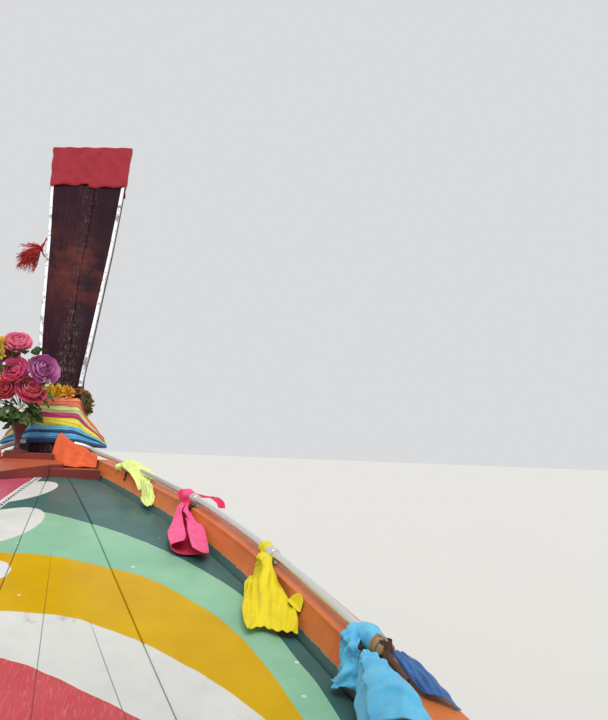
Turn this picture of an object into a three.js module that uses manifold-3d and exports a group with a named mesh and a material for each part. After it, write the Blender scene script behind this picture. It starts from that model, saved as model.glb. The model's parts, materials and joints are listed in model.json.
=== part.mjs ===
// A wooden longtail boat: an open planked hull with a tall raked prow board, a painted foredeck,
// a bow rail with tied cloths, a canopy amidships and an engine that steers on a post at the stern.
// Millimetres. +X is forward, +Y is port, +Z is up. The origin is on the waterline amidships.
import * as THREE from 'three';
import { mergeVertices } from 'three/addons/utils/BufferGeometryUtils.js';
import Module from 'manifold-3d';

const wasm = await Module();
wasm.setup();

// Driving dimensions
const GAP = 0.4;              // between pieces that touch
const PLANK = 28;             // planking thickness
const SEAM_HALF = 0.75;       // half the seam between two strakes
const SUB = 3;                // mesh stations between two rows of the hull table
const KEEL_DEPTH = 60;
const KEEL_FLARE = 8;         // keel is this much wider than the planks' lower edges, each side
const STEM_START = 2600;      // the keel ends and the stem begins at this keel position
const CAP = 18;               // gunwale cap thickness
const INWALE = 24;            // inner gunwale board thickness
const INWALE_DEPTH = 76;
const OUTWALE = 22;
const OUTWALE_DEPTH = 55;
const DECK = 25;              // deck board thickness
const DECK_DROP = 53;         // foredeck edge below the top of the planking
const DECK_CAMBER = 12;
const DECK_AFT = 2200;
const DECK_FORE = 4300;
const BEAM_FORE = 4515;       // fore face of the bow beam, aft of the prow's root
const FLOOR_RISE = 150;       // floorboards above the planks' lower edge line
const RIBS = 11;
const RIB_ENDS = [-4250, 2050];
const FLOOR_PANELS = [-3950, -2450, -1350, 100, 1800];
const FLOOR_HALF = 290;
const FLOOR_BOARD = 20;
const RIB_DEPTH = 35;
const RIB_HALF = 20;
const RAIL_R = 11;
const RAIL_HEIGHT = 45;       // rail axis above the top of the planking
const RAIL_INSET = 34;
const RAIL_AFT = 2430;
const PEG = { back: 22, r: 13, head: 12, lashing: 19 };
const PIVOT = [-5600, 0, 1150];
const SHAFT_ANGLE = THREE.MathUtils.degToRad(19.5);
const SHAFT_LENGTH = 3980;    // pivot to the middle of the propeller
const STERN_DECK = { aftX: -5850, aftZ: 703, foreX: -4500, foreZ: 540 };
const CANOPY = { aft: -3450, fore: 900, eave: 1900, rise: 170, halfWidth: 1010 };
const POST_X = [-3300, -1950, -600, 750];

// Hull stations from the transom to the stem. A station leans: it runs from the keel point to the sheer point.
// Columns: sheer x, sheer z, half beam, keel x, keel z, half foot (planks' lower edge), vee (0 round, 1 sharp)
const HULL = [
  [-5900, 775, 560, -5700, 40, 42, 0.25],
  [-5000, 655, 745, -4950, -95, 42, 0.2],
  [-4200, 572, 875, -4200, -185, 42, 0.15],
  [-3000, 500, 985, -3000, -275, 42, 0.08],
  [-1800, 462, 1030, -1800, -330, 42, 0.03],
  [-600, 450, 1045, -600, -345, 42, 0],
  [600, 470, 1035, 600, -345, 42, 0.05],
  [1800, 560, 985, 1800, -330, 42, 0.2],
  [2500, 663, 905, 2440, -270, 42, 0.35],
  [3000, 748, 805, 2860, -205, 44, 0.5],
  [3500, 833, 660, 3260, -120, 48, 0.65],
  [4000, 903, 470, 3650, -5, 52, 0.8],
  [4400, 950, 315, 3960, 125, 58, 0.9],
  [4700, 978, 205, 4230, 265, 60, 0.95],
  [4900, 998, 125, 4450, 410, 60, 1],
  [5020, 1008, 66, 4610, 545, 60, 1],
];
const COL = { sheerX: 0, sheerZ: 1, beam: 2, keelX: 3, keelZ: 4, foot: 5, vee: 6 };
// Strakes of one side. Columns: name, lower edge, upper edge (0 keel, 1 sheer), rows of facets between them
const STRAKES = [
  ['strake_bottom', 0, 0.4, 2],
  ['strake_bilge', 0.4, 0.7, 3],
  ['strake_topside', 0.7, 1, 2],
];
// Girths of all rows of facets, and the one below the planks' top edge
const ROWS = [...new Set(STRAKES.flatMap(([, low, high, rows]) => (
  Array.from({ length: rows + 1 }, (_, i) => low + ((high - low) * i) / rows))))];
const TOP_ROW = ROWS[ROWS.length - 2];
// Foredeck seams. Columns: half width at the aft end, half width at the fore end
const SEAMS = [
  [130, 29],
  [530, 117],
];
// Prow board, root to head. Columns: z, aft face x, aft half width, middle x, middle half width, fore x, fore half width
const PROW = [
  [1022, 4530, 100, 4690, 190, 5045, 40],
  [1160, 4580, 104, 4740, 156, 5065, 38],
  [1350, 4650, 109, 4800, 112, 5075, 34],
  [1600, 4728, 132, 4850, 135, 5085, 30],
  [1900, 4855, 157, 4950, 162, 5140, 30],
  [2200, 4985, 181, 5070, 187, 5235, 32],
  [2640, 5120, 215, 5190, 221, 5330, 36],
  [2935, 5215, 233, 5280, 237, 5400, 40],
];
const HEAD = { slant: 0.17, start: 2200, full: 2640 };  // the board's head is cut aslant, lower to port
// Cloths wound round the prow's root: high on the aft face, and in a low bundle round the sides and front.
// Flare columns: z, how far the cloths stand off the sides
const WRAP = { high: 1284, thick: 9, bundleTop: 1105, cornerX: 4610, fall: 0.85 };
const WRAP_FLARE = [[1035, 70], [1090, 59], [1145, 45], [1205, 26], [1284, 12]];
const GARLAND = { z: 1317, r: 31 };
const CAP_CLOTH = { low: 2652, high: 2946, thick: 8 };
// Cloths tied to the bow rail. Rows run aft from the knot, and each is a line across the cloth's top:
// inner x, y and z, then outer x, y and z
const CLOTHS = {
  neon: [[4208, 348, 986, 4208, 392, 990], [4150, 352, 986, 4150, 404, 990], [4090, 368, 962, 4070, 428, 982],
    [4021, 388, 948, 4010, 448, 962], [3951, 415, 912, 3950, 464, 936], [3870, 438, 866, 3800, 484, 888], [3718, 461, 836, 3728, 476, 838]],
  pink: [[3594, 578, 884, 3600, 640, 906], [3530, 560, 874, 3540, 634, 904], [3470, 556, 852, 3475, 604, 872],
    [3410, 545, 816, 3416, 610, 828], [3300, 520, 790, 3320, 634, 800], [3130, 530, 772, 3150, 632, 776]],
  yellow: [[3024, 742, 800, 3024, 796, 812], [2985, 738, 792, 2975, 796, 812], [2965, 736, 760, 2906, 776, 786],
    [2940, 724, 734, 2846, 774, 756], [2900, 708, 714, 2796, 778, 722], [2820, 684, 692, 2756, 780, 704], [2690, 722, 668, 2682, 780, 668]],
  blue: [[2508, 812, 706, 2508, 868, 718], [2470, 806, 712, 2468, 902, 724], [2420, 798, 706, 2420, 934, 712],
    [2372, 800, 690, 2352, 944, 704], [2316, 812, 668, 2300, 944, 694], [2204, 855, 668, 2216, 930, 668]],
};
const BENCH_X = [-3000, -1900, -800, 300];

const boat = new THREE.Group();

const PAINT = {
  wood: [0x5b3a2c, 0.7, 0], prow: [0x4e2c29, 0.65, 0], orange: [0xde6a2b, 0.5, 0], deck: [0xdcdcd6, 0.5, 0],
  mint: [0x93c4a2, 0.5, 0], keel: [0x3c2a22, 0.8, 0], beam: [0x7e2a22, 0.5, 0], steel: [0xc8cad0, 0.25, 1],
  tin: [0xc9cbd3, 0.4, 0.8], iron: [0x39424a, 0.5, 0.6], engine: [0x2f5d7c, 0.5, 0.3], bronze: [0xa8793e, 0.35, 1],
  red: [0xb0303c, 0.9, 0], salmon: [0xf08c64, 0.9, 0], marigold: [0xffc800, 0.9, 0], leaf: [0x3e5a2a, 0.8, 0],
  neon: [0xeeff80, 0.9, 0], pink: [0xf0508c, 0.9, 0], yellow: [0xf2e60a, 0.9, 0], blue: [0x5cc8f0, 0.9, 0],
  saffron: [0xf07a20, 0.9, 0], roof: [0x8fa9b8, 0.6, 0], seat: [0x2f8f86, 0.5, 0], tank: [0xb8352c, 0.5, 0],
};

function material(name) {
  const [color, roughness, metalness] = PAINT[name];
  return new THREE.MeshStandardMaterial({ color, roughness, metalness });
}

function add(name, geometry, paint, parent = boat) {
  const mesh = new THREE.Mesh(geometry, material(paint));
  mesh.name = name;
  parent.add(mesh);
  return mesh;
}

// Plain solids and joins
function bare(geometry) {
  geometry.deleteAttribute('normal');
  geometry.deleteAttribute('uv');
  return mergeVertices(geometry, 1e-3);
}

function solid(geometry) {
  const g = bare(geometry.clone());
  return new wasm.Manifold(new wasm.Mesh({
    numProp: 3,
    vertProperties: new Float32Array(g.attributes.position.array),
    triVerts: new Uint32Array(g.index.array),
  }));
}

function fromSolid(manifold) {
  const mesh = manifold.getMesh();
  const g = new THREE.BufferGeometry();
  g.setAttribute('position', new THREE.BufferAttribute(new Float32Array(mesh.vertProperties), 3));
  g.setIndex(new THREE.BufferAttribute(new Uint32Array(mesh.triVerts), 1));
  g.computeVertexNormals();
  return g;
}

function join(...geometries) {
  return fromSolid(geometries.map(solid).reduce((a, b) => a.add(b)));
}

function cut(geometry, ...tools) {
  return fromSolid(tools.map(solid).reduce((a, b) => a.subtract(b), solid(geometry)));
}

function box(x0, x1, y0, y1, z0, z1) {
  const g = new THREE.BoxGeometry(x1 - x0, y1 - y0, z1 - z0);
  return g.translate((x0 + x1) / 2, (y0 + y1) / 2, (z0 + z1) / 2);
}

// A round bar from one point to another
function bar(from, to, radius, sides = 12, endRadius = radius) {
  const a = new THREE.Vector3(...from);
  const b = new THREE.Vector3(...to);
  const axis = b.clone().sub(a);
  const g = new THREE.CylinderGeometry(endRadius, radius, axis.length(), sides);
  g.applyQuaternion(new THREE.Quaternion().setFromUnitVectors(new THREE.Vector3(0, 1, 0), axis.clone().normalize()));
  return g.translate(...a.add(b).multiplyScalar(0.5).toArray());
}

function tube(points, radius, sides, steps) {
  const shape = new THREE.Shape();
  for (let i = 0; i < sides; i += 1) {
    const angle = (2 * Math.PI * i) / sides;
    const place = [radius * Math.cos(angle), radius * Math.sin(angle)];
    if (i === 0) shape.moveTo(...place);
    else shape.lineTo(...place);
  }
  const path = new THREE.CatmullRomCurve3(points.map((p) => new THREE.Vector3(...p)), false, 'catmullrom', 0.5);
  return new THREE.ExtrudeGeometry(shape, { steps, bevelEnabled: false, extrudePath: path });
}

// A loft through rings with the same number of points. The ends are capped, or joined when closed is set.
function loft(rings, closed = false) {
  const n = rings[0].length;
  const index = [];
  const last = closed ? rings.length : rings.length - 1;
  for (let r = 0; r < last; r += 1) {
    for (let i = 0; i < n; i += 1) {
      const a = r * n + i;
      const b = r * n + ((i + 1) % n);
      const c = ((r + 1) % rings.length) * n + i;
      const d = ((r + 1) % rings.length) * n + ((i + 1) % n);
      index.push(a, b, d, a, d, c);
    }
  }
  if (!closed) {
    index.push(...cap(rings[0], 0, true), ...cap(rings[rings.length - 1], (rings.length - 1) * n, false));
  }
  const g = new THREE.BufferGeometry();
  g.setAttribute('position', new THREE.Float32BufferAttribute(rings.flat(2), 3));
  g.setIndex(index);
  return facingOut(g);
}

// Triangles of a flat end, found in the plane that the ring fills best
function cap(ring, offset, flip) {
  const area = [0, 0, 0];
  ring.forEach((p, i) => {
    const q = ring[(i + 1) % ring.length];
    for (let k = 0; k < 3; k += 1) {
      const [u, v] = [(k + 1) % 3, (k + 2) % 3];
      area[k] += p[u] * q[v] - q[u] * p[v];
    }
  });
  const k = area.map(Math.abs).indexOf(Math.max(...area.map(Math.abs)));
  const flat = ring.map((p) => new THREE.Vector2(p[(k + 1) % 3], p[(k + 2) % 3]));
  const faces = THREE.ShapeUtils.triangulateShape(flat, []);
  const forward = area[k] > 0;
  const turned = ([a, b, c]) => (forward !== THREE.ShapeUtils.isClockWise(flat) ? [a, b, c] : [a, c, b]);
  return faces.flatMap((face) => {
    const [a, b, c] = turned(face).map((i) => i + offset);
    return flip === forward ? [a, c, b] : [a, b, c];
  });
}

function facingOut(g) {
  const p = g.attributes.position;
  const index = g.index.array;
  let volume = 0;
  const [a, b, c] = [new THREE.Vector3(), new THREE.Vector3(), new THREE.Vector3()];
  for (let i = 0; i < index.length; i += 3) {
    a.fromBufferAttribute(p, index[i]);
    b.fromBufferAttribute(p, index[i + 1]);
    c.fromBufferAttribute(p, index[i + 2]);
    volume += a.dot(b.cross(c));
  }
  if (volume < 0) {
    for (let i = 0; i < index.length; i += 3) [index[i], index[i + 1]] = [index[i + 1], index[i]];
  }
  return g;
}

const mirror = (points) => points.map(([x, y, z]) => [x, -y, z]);
const mix = (a, b, t) => a + (b - a) * t;

// The hull's surface. Each column of the table is a smooth curve through its rows,
// with the slope at a row taken from its two neighbours.
function column(k, s) {
  const i = Math.min(Math.max(Math.floor(s), 0), HULL.length - 2);
  const value = (row) => HULL[Math.min(Math.max(row, 0), HULL.length - 1)][k];
  const gauge = (row) => HULL[Math.min(Math.max(row, 0), HULL.length - 1)][COL.sheerX];
  const slope = (row) => (value(row + 1) - value(row - 1)) / (gauge(row + 1) - gauge(row - 1));
  const t = s - i;
  const h = gauge(i + 1) - gauge(i);
  return (2 * t ** 3 - 3 * t ** 2 + 1) * value(i) + (t ** 3 - 2 * t ** 2 + t) * h * slope(i)
    + (3 * t ** 2 - 2 * t ** 3) * value(i + 1) + (t ** 3 - t ** 2) * h * slope(i + 1);
}

// A half section is a parabola from the planks' lower edge to the sheer, its corner moved in by vee
function outer(s, t) {
  const vee = column(COL.vee, s);
  const corner = [mix(0.88, 0.5, vee), mix(0.12, 0.42, vee)];
  const across = 2 * t * (1 - t) * corner[0] + t * t;
  const up = 2 * t * (1 - t) * corner[1] + t * t;
  return [
    mix(column(COL.keelX, s), column(COL.sheerX, s), up),
    mix(column(COL.foot, s), column(COL.beam, s), across),
    mix(column(COL.keelZ, s), column(COL.sheerZ, s), up),
  ];
}

function inwardNormal(s, t) {
  const e = 1e-3;
  const last = HULL.length - 1;
  const along = new THREE.Vector3(...outer(Math.min(s + e, last), t)).sub(new THREE.Vector3(...outer(Math.max(s - e, 0), t)));
  const around = new THREE.Vector3(...outer(s, Math.min(t + e, 1))).sub(new THREE.Vector3(...outer(s, Math.max(t - e, 0))));
  const n = along.cross(around).normalize();
  return n.y > 0 ? n.negate() : n;
}

// The planks' top edge is level, so there the inner point slides along the plank to the outer point's height
function inner(s, t, depth = PLANK) {
  const p = outer(s, t);
  const n = inwardNormal(s, t);
  const q = p.map((v, k) => v + depth * n.getComponent(k));
  if (t < 1) return q;
  const below = outer(s, TOP_ROW);
  const slide = (q[2] - p[2]) / (p[2] - below[2]);
  return q.map((v, k) => v - slide * (p[k] - below[k]));
}

const meshStations = [];
for (let i = 0; i <= (HULL.length - 1) * SUB; i += 1) meshStations.push(i / SUB);

// Inside of the planking where it crosses the plane x: one point for each row of facets, from the keel up
function insideSection(x, clear) {
  return ROWS.map((t) => {
    const line = meshStations.map((s) => inner(s, t, PLANK + clear));
    const i = Math.min(Math.max(line.findIndex((p) => p[0] > x) - 1, 0), line.length - 2);
    const f = (x - line[i][0]) / (line[i + 1][0] - line[i][0]);
    return line[i].map((v, k) => mix(v, line[i + 1][k], f));
  });
}

// Half breadth of the inside at x and height z
function halfBreadthAt(x, z, clear) {
  const section = insideSection(x, clear);
  const i = Math.min(Math.max(section.findIndex((p) => p[2] > z) - 1, 0), section.length - 2);
  return mix(section[i][1], section[i + 1][1], (z - section[i][2]) / (section[i + 1][2] - section[i][2]));
}

// Point of the outer surface at girth t that lies at x
function outerAt(x, t) {
  let [low, high] = [0, HULL.length - 1];
  for (let i = 0; i < 40; i += 1) {
    const mid = (low + high) / 2;
    if (outer(mid, t)[0] < x) low = mid;
    else high = mid;
  }
  return outer((low + high) / 2, t);
}

function keelZAt(x) {
  return outerAt(x, 0)[2];
}

function sheerAt(x) {
  return outerAt(x, 1);
}

// Planking: three strakes a side, with a fine seam between them
function strake([, low, high, rows]) {
  const seam = (s, t) => {
    const span = new THREE.Vector3(...outer(s, t + 0.01)).distanceTo(new THREE.Vector3(...outer(s, t - 0.01)));
    return (0.02 * SEAM_HALF) / span;
  };
  const girths = (s) => {
    const from = low > 0 ? low + seam(s, low) : low;
    const to = high < 1 ? high - seam(s, high) : high;
    return Array.from({ length: rows + 1 }, (_, i) => mix(from, to, i / rows));
  };
  return loft(meshStations.map((s) => [
    ...girths(s).map((t) => outer(s, t)),
    ...girths(s).toReversed().map((t) => inner(s, t)),
  ]));
}

for (const row of STRAKES) {
  const port = strake(row);
  const starboard = facingOut(bare(port.clone().scale(1, -1, 1)));
  add(`${row[0]}_port`, port, 'wood');
  add(`${row[0]}_starboard`, starboard, 'wood');
}

// Keel and stem: bars that follow the planks' lower edge, with a tongue between the planks
function spine(stations, tongueHalf, tongueRise) {
  return loft(stations.map((s) => {
    const [x, foot, z] = outer(s, 0);
    const [x1, , z1] = outer(Math.min(s + 0.01, HULL.length - 1), 0);
    const [x0, , z0] = outer(Math.max(s - 0.01, 0), 0);
    const length = Math.hypot(x1 - x0, z1 - z0);
    const [nx, nz] = [(z1 - z0) / length, -(x1 - x0) / length];
    const at = (y, out) => [x + nx * out, y, z + nz * out];
    const half = [
      at(foot + KEEL_FLARE - 14, KEEL_DEPTH), at(foot + KEEL_FLARE, GAP),
      at(tongueHalf, GAP), at(tongueHalf, -tongueRise),
    ];
    return [...half, ...mirror(half.toReversed())];
  }));
}

const keelOf = (s) => column(COL.keelX, s);
const scarf = meshStations.find((s) => keelOf(s) > STEM_START);
const keelStations = [...meshStations.filter((s) => s < scarf), scarf - 0.002];
const stemStations = meshStations.filter((s) => s >= scarf);
add('keel', spine(keelStations, 30, 8), 'keel');

// The stem bar turns up from the last keel point along the leaning last station
function stemHead() {
  const last = HULL.length - 1;
  const rings = [0, 0.35, 0.7, 1].map((t) => {
    const x = mix(column(COL.keelX, last), column(COL.sheerX, last), t);
    const z = mix(column(COL.keelZ, last), column(COL.sheerZ, last), t);
    const top = (lift) => (t < 1 ? z + lift : z - 3.2);
    const half = [[x + 60, 24, top(-34)], [x + 1.2, 62, top(1)], [x + 1.2, 30, top(1)], [x - 42, 30, top(24)]];
    return [...half, ...mirror(half.toReversed())];
  });
  return loft(rings);
}
add('stem', join(spine(stemStations, 30, 46), stemHead()), 'keel');

// Transom: a board across the ends of the planking, with square top corners behind the gunwales
function transom() {
  const girths = [0, 0.15, 0.3, 0.45, 0.6, 0.8, 1];
  const lean = new THREE.Vector3(...outer(0, 1)).sub(new THREE.Vector3(...outer(0, 0))).setY(0).normalize();
  const back = [-lean.z, lean.x];
  const ring = (depth) => {
    const shift = ([x, y, z]) => [x + back[0] * depth, y, z + back[1] * depth];
    const [foot, top] = [outer(0, 0), outer(0, 1)];
    const at = (y, z) => [foot[0] + ((z - foot[2]) * lean.x) / lean.z, y, z];
    const half = [
      at(0, foot[2]), ...girths.map((t) => outer(0, t)),
      at(top[1] + OUTWALE, top[2] - 5), at(top[1] + OUTWALE, top[2] + CAP + 6), at(0, top[2] + CAP + 22),
    ];
    return [...half.map(shift), ...mirror(half.slice(1, -1).toReversed()).map(shift)];
  };
  return loft([ring(3.5), ring(42)]);
}
add('transom', transom(), 'wood');

// Gunwales: an inner board, an outer rubbing strake and the cap over both, clamped round the planking's edge
// A point beside the planking's top: depth in from its outer face, and down along it or straight up
function besideTop(s, depth, drop) {
  const top = inner(s, 1, depth);
  if (drop <= 0) return [top[0], top[1], top[2] - drop];
  const low = inner(s, TOP_ROW, depth);
  return top.map((v, k) => mix(v, low[k], drop / (top[2] - low[2])));
}

const INWALE_NEAR = PLANK + 0.9;
function gunwaleRing(s) {
  return [
    besideTop(s, -OUTWALE, -CAP), besideTop(s, -OUTWALE, OUTWALE_DEPTH),
    besideTop(s, -0.9, OUTWALE_DEPTH), besideTop(s, -0.9, -GAP),
    besideTop(s, INWALE_NEAR, -GAP), besideTop(s, INWALE_NEAR, INWALE_DEPTH),
    besideTop(s, INWALE_NEAR + INWALE, INWALE_DEPTH), besideTop(s, INWALE_NEAR + INWALE, -CAP),
  ];
}

const gunwaleStations = meshStations.filter((s) => column(COL.sheerX, s) < BEAM_FORE);

// Inner top edge of the gunwale at x
function capInner(x) {
  const line = meshStations.map((s) => besideTop(s, INWALE_NEAR + INWALE, -CAP));
  const i = Math.min(Math.max(line.findIndex((p) => p[0] > x) - 1, 0), line.length - 2);
  return line[i].map((v, k) => mix(v, line[i + 1][k], (x - line[i][0]) / (line[i + 1][0] - line[i][0])));
}

// Half width between the gunwales' inner faces at x, so far below the planking's top
function deckHalf(x, drop) {
  const line = meshStations.map((s) => besideTop(s, INWALE_NEAR + INWALE + 0.6, drop));
  const i = Math.min(Math.max(line.findIndex((p) => p[0] > x) - 1, 0), line.length - 2);
  return mix(line[i][1], line[i + 1][1], (x - line[i][0]) / (line[i + 1][0] - line[i][0]));
}

for (const side of [1, -1]) {
  const rings = gunwaleStations.map(gunwaleRing);
  const shape = loft(side > 0 ? rings : rings.map(mirror));
  add(side > 0 ? 'gunwale_port' : 'gunwale_starboard', shape, 'orange');
}

// Foredeck: a king plank and two boards each side, arched across and rising with the sheer
const deckX = meshStations.map((s) => outer(s, 1)[0]).filter((x) => x > DECK_AFT + 40 && x < DECK_FORE - 20);
const deckRows = [DECK_AFT, ...deckX, DECK_FORE];

function deckZ(x, y) {
  const half = deckHalf(x, DECK_DROP);
  return sheerAt(x)[2] - DECK_DROP + DECK_CAMBER * Math.max(0, 1 - (y / half) ** 2);
}

function seamAt(k, x) {
  return mix(SEAMS[k][0], SEAMS[k][1], (x - DECK_AFT) / (DECK_FORE - DECK_AFT));
}

function deckBoard(from, to) {
  return loft(deckRows.map((x) => {
    const [y0, y1] = [from(x), to(x)];
    const ys = [y0, (y0 + y1) / 2, y1];
    return [...ys.map((y) => [x, y, deckZ(x, y)]), ...ys.toReversed().map((y) => [x, y, deckZ(x, y) - DECK])];
  }));
}

const deckEdge = (x) => Math.min(deckHalf(x, DECK_DROP), deckHalf(x, INWALE_DEPTH)) - 0.3;
add('foredeck_king_plank', deckBoard((x) => -seamAt(0, x) + GAP, (x) => seamAt(0, x) - GAP), 'deck');
for (const [side, name] of [[1, 'port'], [-1, 'starboard']]) {
  const sorted = (a, b) => (side > 0 ? deckBoard(a, b) : deckBoard((x) => -b(x), (x) => -a(x)));
  add(`foredeck_inner_${name}`, sorted((x) => seamAt(0, x), (x) => seamAt(1, x) - GAP), 'deck');
  add(`foredeck_outer_${name}`, sorted((x) => seamAt(1, x), deckEdge), 'mint');
}

// A panel across the inside of the hull from the floor line up to a height
function bulkhead(x0, x1, top) {
  return loft([x0, x1].map((x) => {
    const height = top(x);
    const side = insideSection(x, 2.5).filter((p) => p[2] < height - 5).map((p) => [x, p[1], p[2]]);
    side.push([x, halfBreadthAt(x, height, 2.5), height]);
    return [...side, ...mirror(side.toReversed())];
  }));
}

const foreTop = (x) => deckZ(x, deckEdge(x)) - DECK - 1;
add('foredeck_bulkhead', bulkhead(DECK_AFT + 30, DECK_AFT + 55, foreTop), 'seat');

// Stern deck: one flat sloping deck between the gunwales
const sternDeckZ = (x) => mix(STERN_DECK.aftZ, STERN_DECK.foreZ, (x - STERN_DECK.aftX) / (STERN_DECK.foreX - STERN_DECK.aftX));
function sternDeck() {
  const rows = [STERN_DECK.aftX, ...meshStations.map((s) => outer(s, 1)[0])
    .filter((x) => x > STERN_DECK.aftX + 40 && x < STERN_DECK.foreX - 40), STERN_DECK.foreX];
  return loft(rows.map((x) => {
    const drop = sheerAt(x)[2] - sternDeckZ(x);
    const y = Math.min(deckHalf(x, drop), deckHalf(x, drop + DECK)) + 0.9;
    const z = sternDeckZ(x);
    return [[x, y, z], [x, -y, z], [x, -y, z - DECK], [x, y, z - DECK]];
  }));
}
add('stern_deck', sternDeck(), 'seat');
add('stern_bulkhead', bulkhead(STERN_DECK.foreX - 60, STERN_DECK.foreX - 35, (x) => sternDeckZ(x) - DECK - 11), 'seat');

// Ribs on a keelson, as one frame inside the planking
const floorZ = (x) => keelZAt(x) + FLOOR_RISE;
function rib(x) {
  const flat = Math.min(floorZ(x - RIB_HALF), floorZ(x + RIB_HALF)) - 0.4;
  return loft([x - RIB_HALF, x + RIB_HALF].map((at) => {
    const out = insideSection(at, 2).slice(0, -1);
    const back = insideSection(at, RIB_DEPTH).slice(0, -1).toReversed();
    const side = [...out, ...back.map((p) => [p[0], p[1], Math.max(p[2], flat)])].map(([, y, z]) => [at, y, z]);
    return [...side, ...mirror(side.toReversed())];
  }));
}

function keelson() {
  const ends = [STERN_DECK.foreX - 34.5, DECK_AFT + 29.5];
  const rows = [ends[0], ...meshStations.map((s) => outer(s, 0)[0]).filter((x) => x > ends[0] && x < ends[1]), ends[1]];
  return loft(rows.map((x) => {
    const low = keelZAt(x) + 8.6;
    const high = floorZ(x) - 14;
    return [[x, 28, low], [x, -28, low], [x, -28, high], [x, 28, high]];
  }));
}

const ribX = Array.from({ length: RIBS }, (_, i) => mix(RIB_ENDS[0], RIB_ENDS[1], i / (RIBS - 1)));
add('ribs_and_keelson', join(keelson(), ...ribX.map(rib)), 'wood');

// Floor panels on the ribs' flat floors
function floorPanel(x0, x1) {
  const rows = [x0, ...meshStations.map((s) => outer(s, 0)[0]).filter((x) => x > x0 + 40 && x < x1 - 40), x1];
  return loft(rows.map((x) => {
    const z = floorZ(x) + GAP;
    return [[x, FLOOR_HALF, z], [x, -FLOOR_HALF, z], [x, -FLOOR_HALF, z + FLOOR_BOARD], [x, FLOOR_HALF, z + FLOOR_BOARD]];
  }));
}
FLOOR_PANELS.slice(1).forEach((x1, i) => add(`floor_panel_${i + 1}`, floorPanel(FLOOR_PANELS[i], x1 - GAP), 'seat'));

// Benches: a board across the boat on two legs that stand on the floorboards
const benchTop = (x) => floorZ(x) + 400;
function bench(x) {
  const z = benchTop(x);
  const half = halfBreadthAt(x, z - 30, RIB_DEPTH) - 8;
  const legs = [200, -200].map((y) => {
    const foot = Math.max(floorZ(x - 90), floorZ(x + 90)) + FLOOR_BOARD + 1.4;
    return box(x - 90, x + 90, y - 20, y + 20, foot, z - 20);
  });
  return join(box(x - 150, x + 150, -half, half, z - 30, z), ...legs);
}
BENCH_X.forEach((x, i) => add(`bench_${i + 1}`, bench(x), 'seat'));

// Bow beam across the foredeck's end
const BEAM_TOP = 937;
// The platform board's rows across: y, aft edge x and its top z, x where it meets the beam, top z at its fore edge
const PLATFORM = { foreX: 4389, rows: [
  [190, 4209, 911.5, 4300.6, 972], [164, 4220, 920, 4300.6, 972], [116, 4240, 928.5, 4300.6, 972], [69, 4260, 937, 4300.6, 972],
  [20, 4275, 944.5, 4300.6, 972], [-30, 4290, 952, 4300.6, 972], [-60, 4296, 954, 4303, 968], [-85, 4312, 954, 4318, 961],
] };
const STEP = { aftX: 4388, starboardY: -30, portY: 188, top: 1000 };
function bowBeam() {
  const y = (x) => Math.min(deckHalf(x, 2), deckHalf(x, INWALE_DEPTH)) - 0.3;
  const low = deckZ(DECK_FORE, 0) - DECK_CAMBER - 20;
  const ring = (x) => [[x, y(x), low], [x, -y(x), low], [x, -y(x), BEAM_TOP], [x, y(x), BEAM_TOP]];
  return loft(Array.from({ length: 5 }, (_, i) => ring(mix(DECK_FORE + 1, BEAM_FORE, i / 4))));
}
add('bow_beam', bowBeam(), 'beam');

// The platform is a wedge of board that lies askew against the beam, its aft edge down on the deck,
// notched over the beam, with a step board for the flower stand behind it
function bowPlatform() {
  const { foreX, rows } = PLATFORM;
  const top = ([, aftX, aftZ, , foreZ], x) => mix(aftZ, foreZ, (x - aftX) / (foreX - aftX));
  const onDeck = rows.slice(0, 6).map((row) => {
    const [y, aftX, aftZ, beamX] = row;
    return [[aftX, y, deckZ(aftX, y) + 1], [beamX, y, deckZ(beamX, y) + 1], [beamX, y, top(row, beamX)], [aftX, y, aftZ]];
  });
  const onBeam = rows.map((row) => {
    const [y, , , beamX, foreZ] = row;
    return [[beamX, y, BEAM_TOP + GAP], [foreX, y, BEAM_TOP + GAP], [foreX, y, foreZ], [beamX, y, top(row, beamX)]];
  });
  const step = box(STEP.aftX, BEAM_FORE - 3, STEP.starboardY, STEP.portY, BEAM_TOP + GAP, STEP.top);
  return join(loft(onDeck), loft(onBeam), step);
}
add('bow_platform', bowPlatform(), 'beam');

// Prow board: a tall leaning board that stands on the planking's top and the stem
function prowRing([z, aftX, aftHalf, midX, midHalf, foreX, foreHalf], spread = 0) {
  const half = [[aftX - spread, aftHalf + spread, z], [midX, midHalf + spread, z], [foreX + spread, foreHalf + spread, z]];
  return [...half, ...mirror(half.toReversed())];
}

function prowAt(z) {
  const above = PROW.findIndex((row) => row[0] > z);
  const i = above < 0 ? PROW.length - 2 : Math.max(above - 1, 0);
  const t = (z - PROW[i][0]) / (PROW[i + 1][0] - PROW[i][0]);
  return PROW[i].map((v, j) => mix(v, PROW[i + 1][j], t));
}

// Points towards the head slide down to port and up to starboard
function slanted([x, y, z]) {
  const share = Math.min(Math.max((z - HEAD.start) / (HEAD.full - HEAD.start), 0), 1);
  return [x, y, z - HEAD.slant * share * y];
}

function prow(spread = 0) {
  const root = prowRing(PROW[0]).map(([x, y]) => [x, y, sheerAt(Math.min(x, 5019))[2] + 5.2]);
  const rings = PROW.map((row) => prowRing(row, spread).map(slanted));
  return loft(spread > 0 ? [...rings, rings.at(-1).map(([x, y, z]) => [x, y, z + spread])] : [root, ...rings]);
}

// Metal strips nailed along both aft corners of the prow board
function edgeStrip(side) {
  return loft([1350, 1600, 1900, 2200, HEAD.full].map((z) => {
    const [, x, half] = prowAt(z);
    const [near, far] = [side * (half - 1), side * (half - 22)];
    return [[x + 1, near, z], [x - 3.6, near, z], [x - 3.6, far, z], [x + 1, far, z]].map(slanted);
  }));
}
add('prow', join(prow(), edgeStrip(1), edgeStrip(-1)), 'prow');

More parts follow.
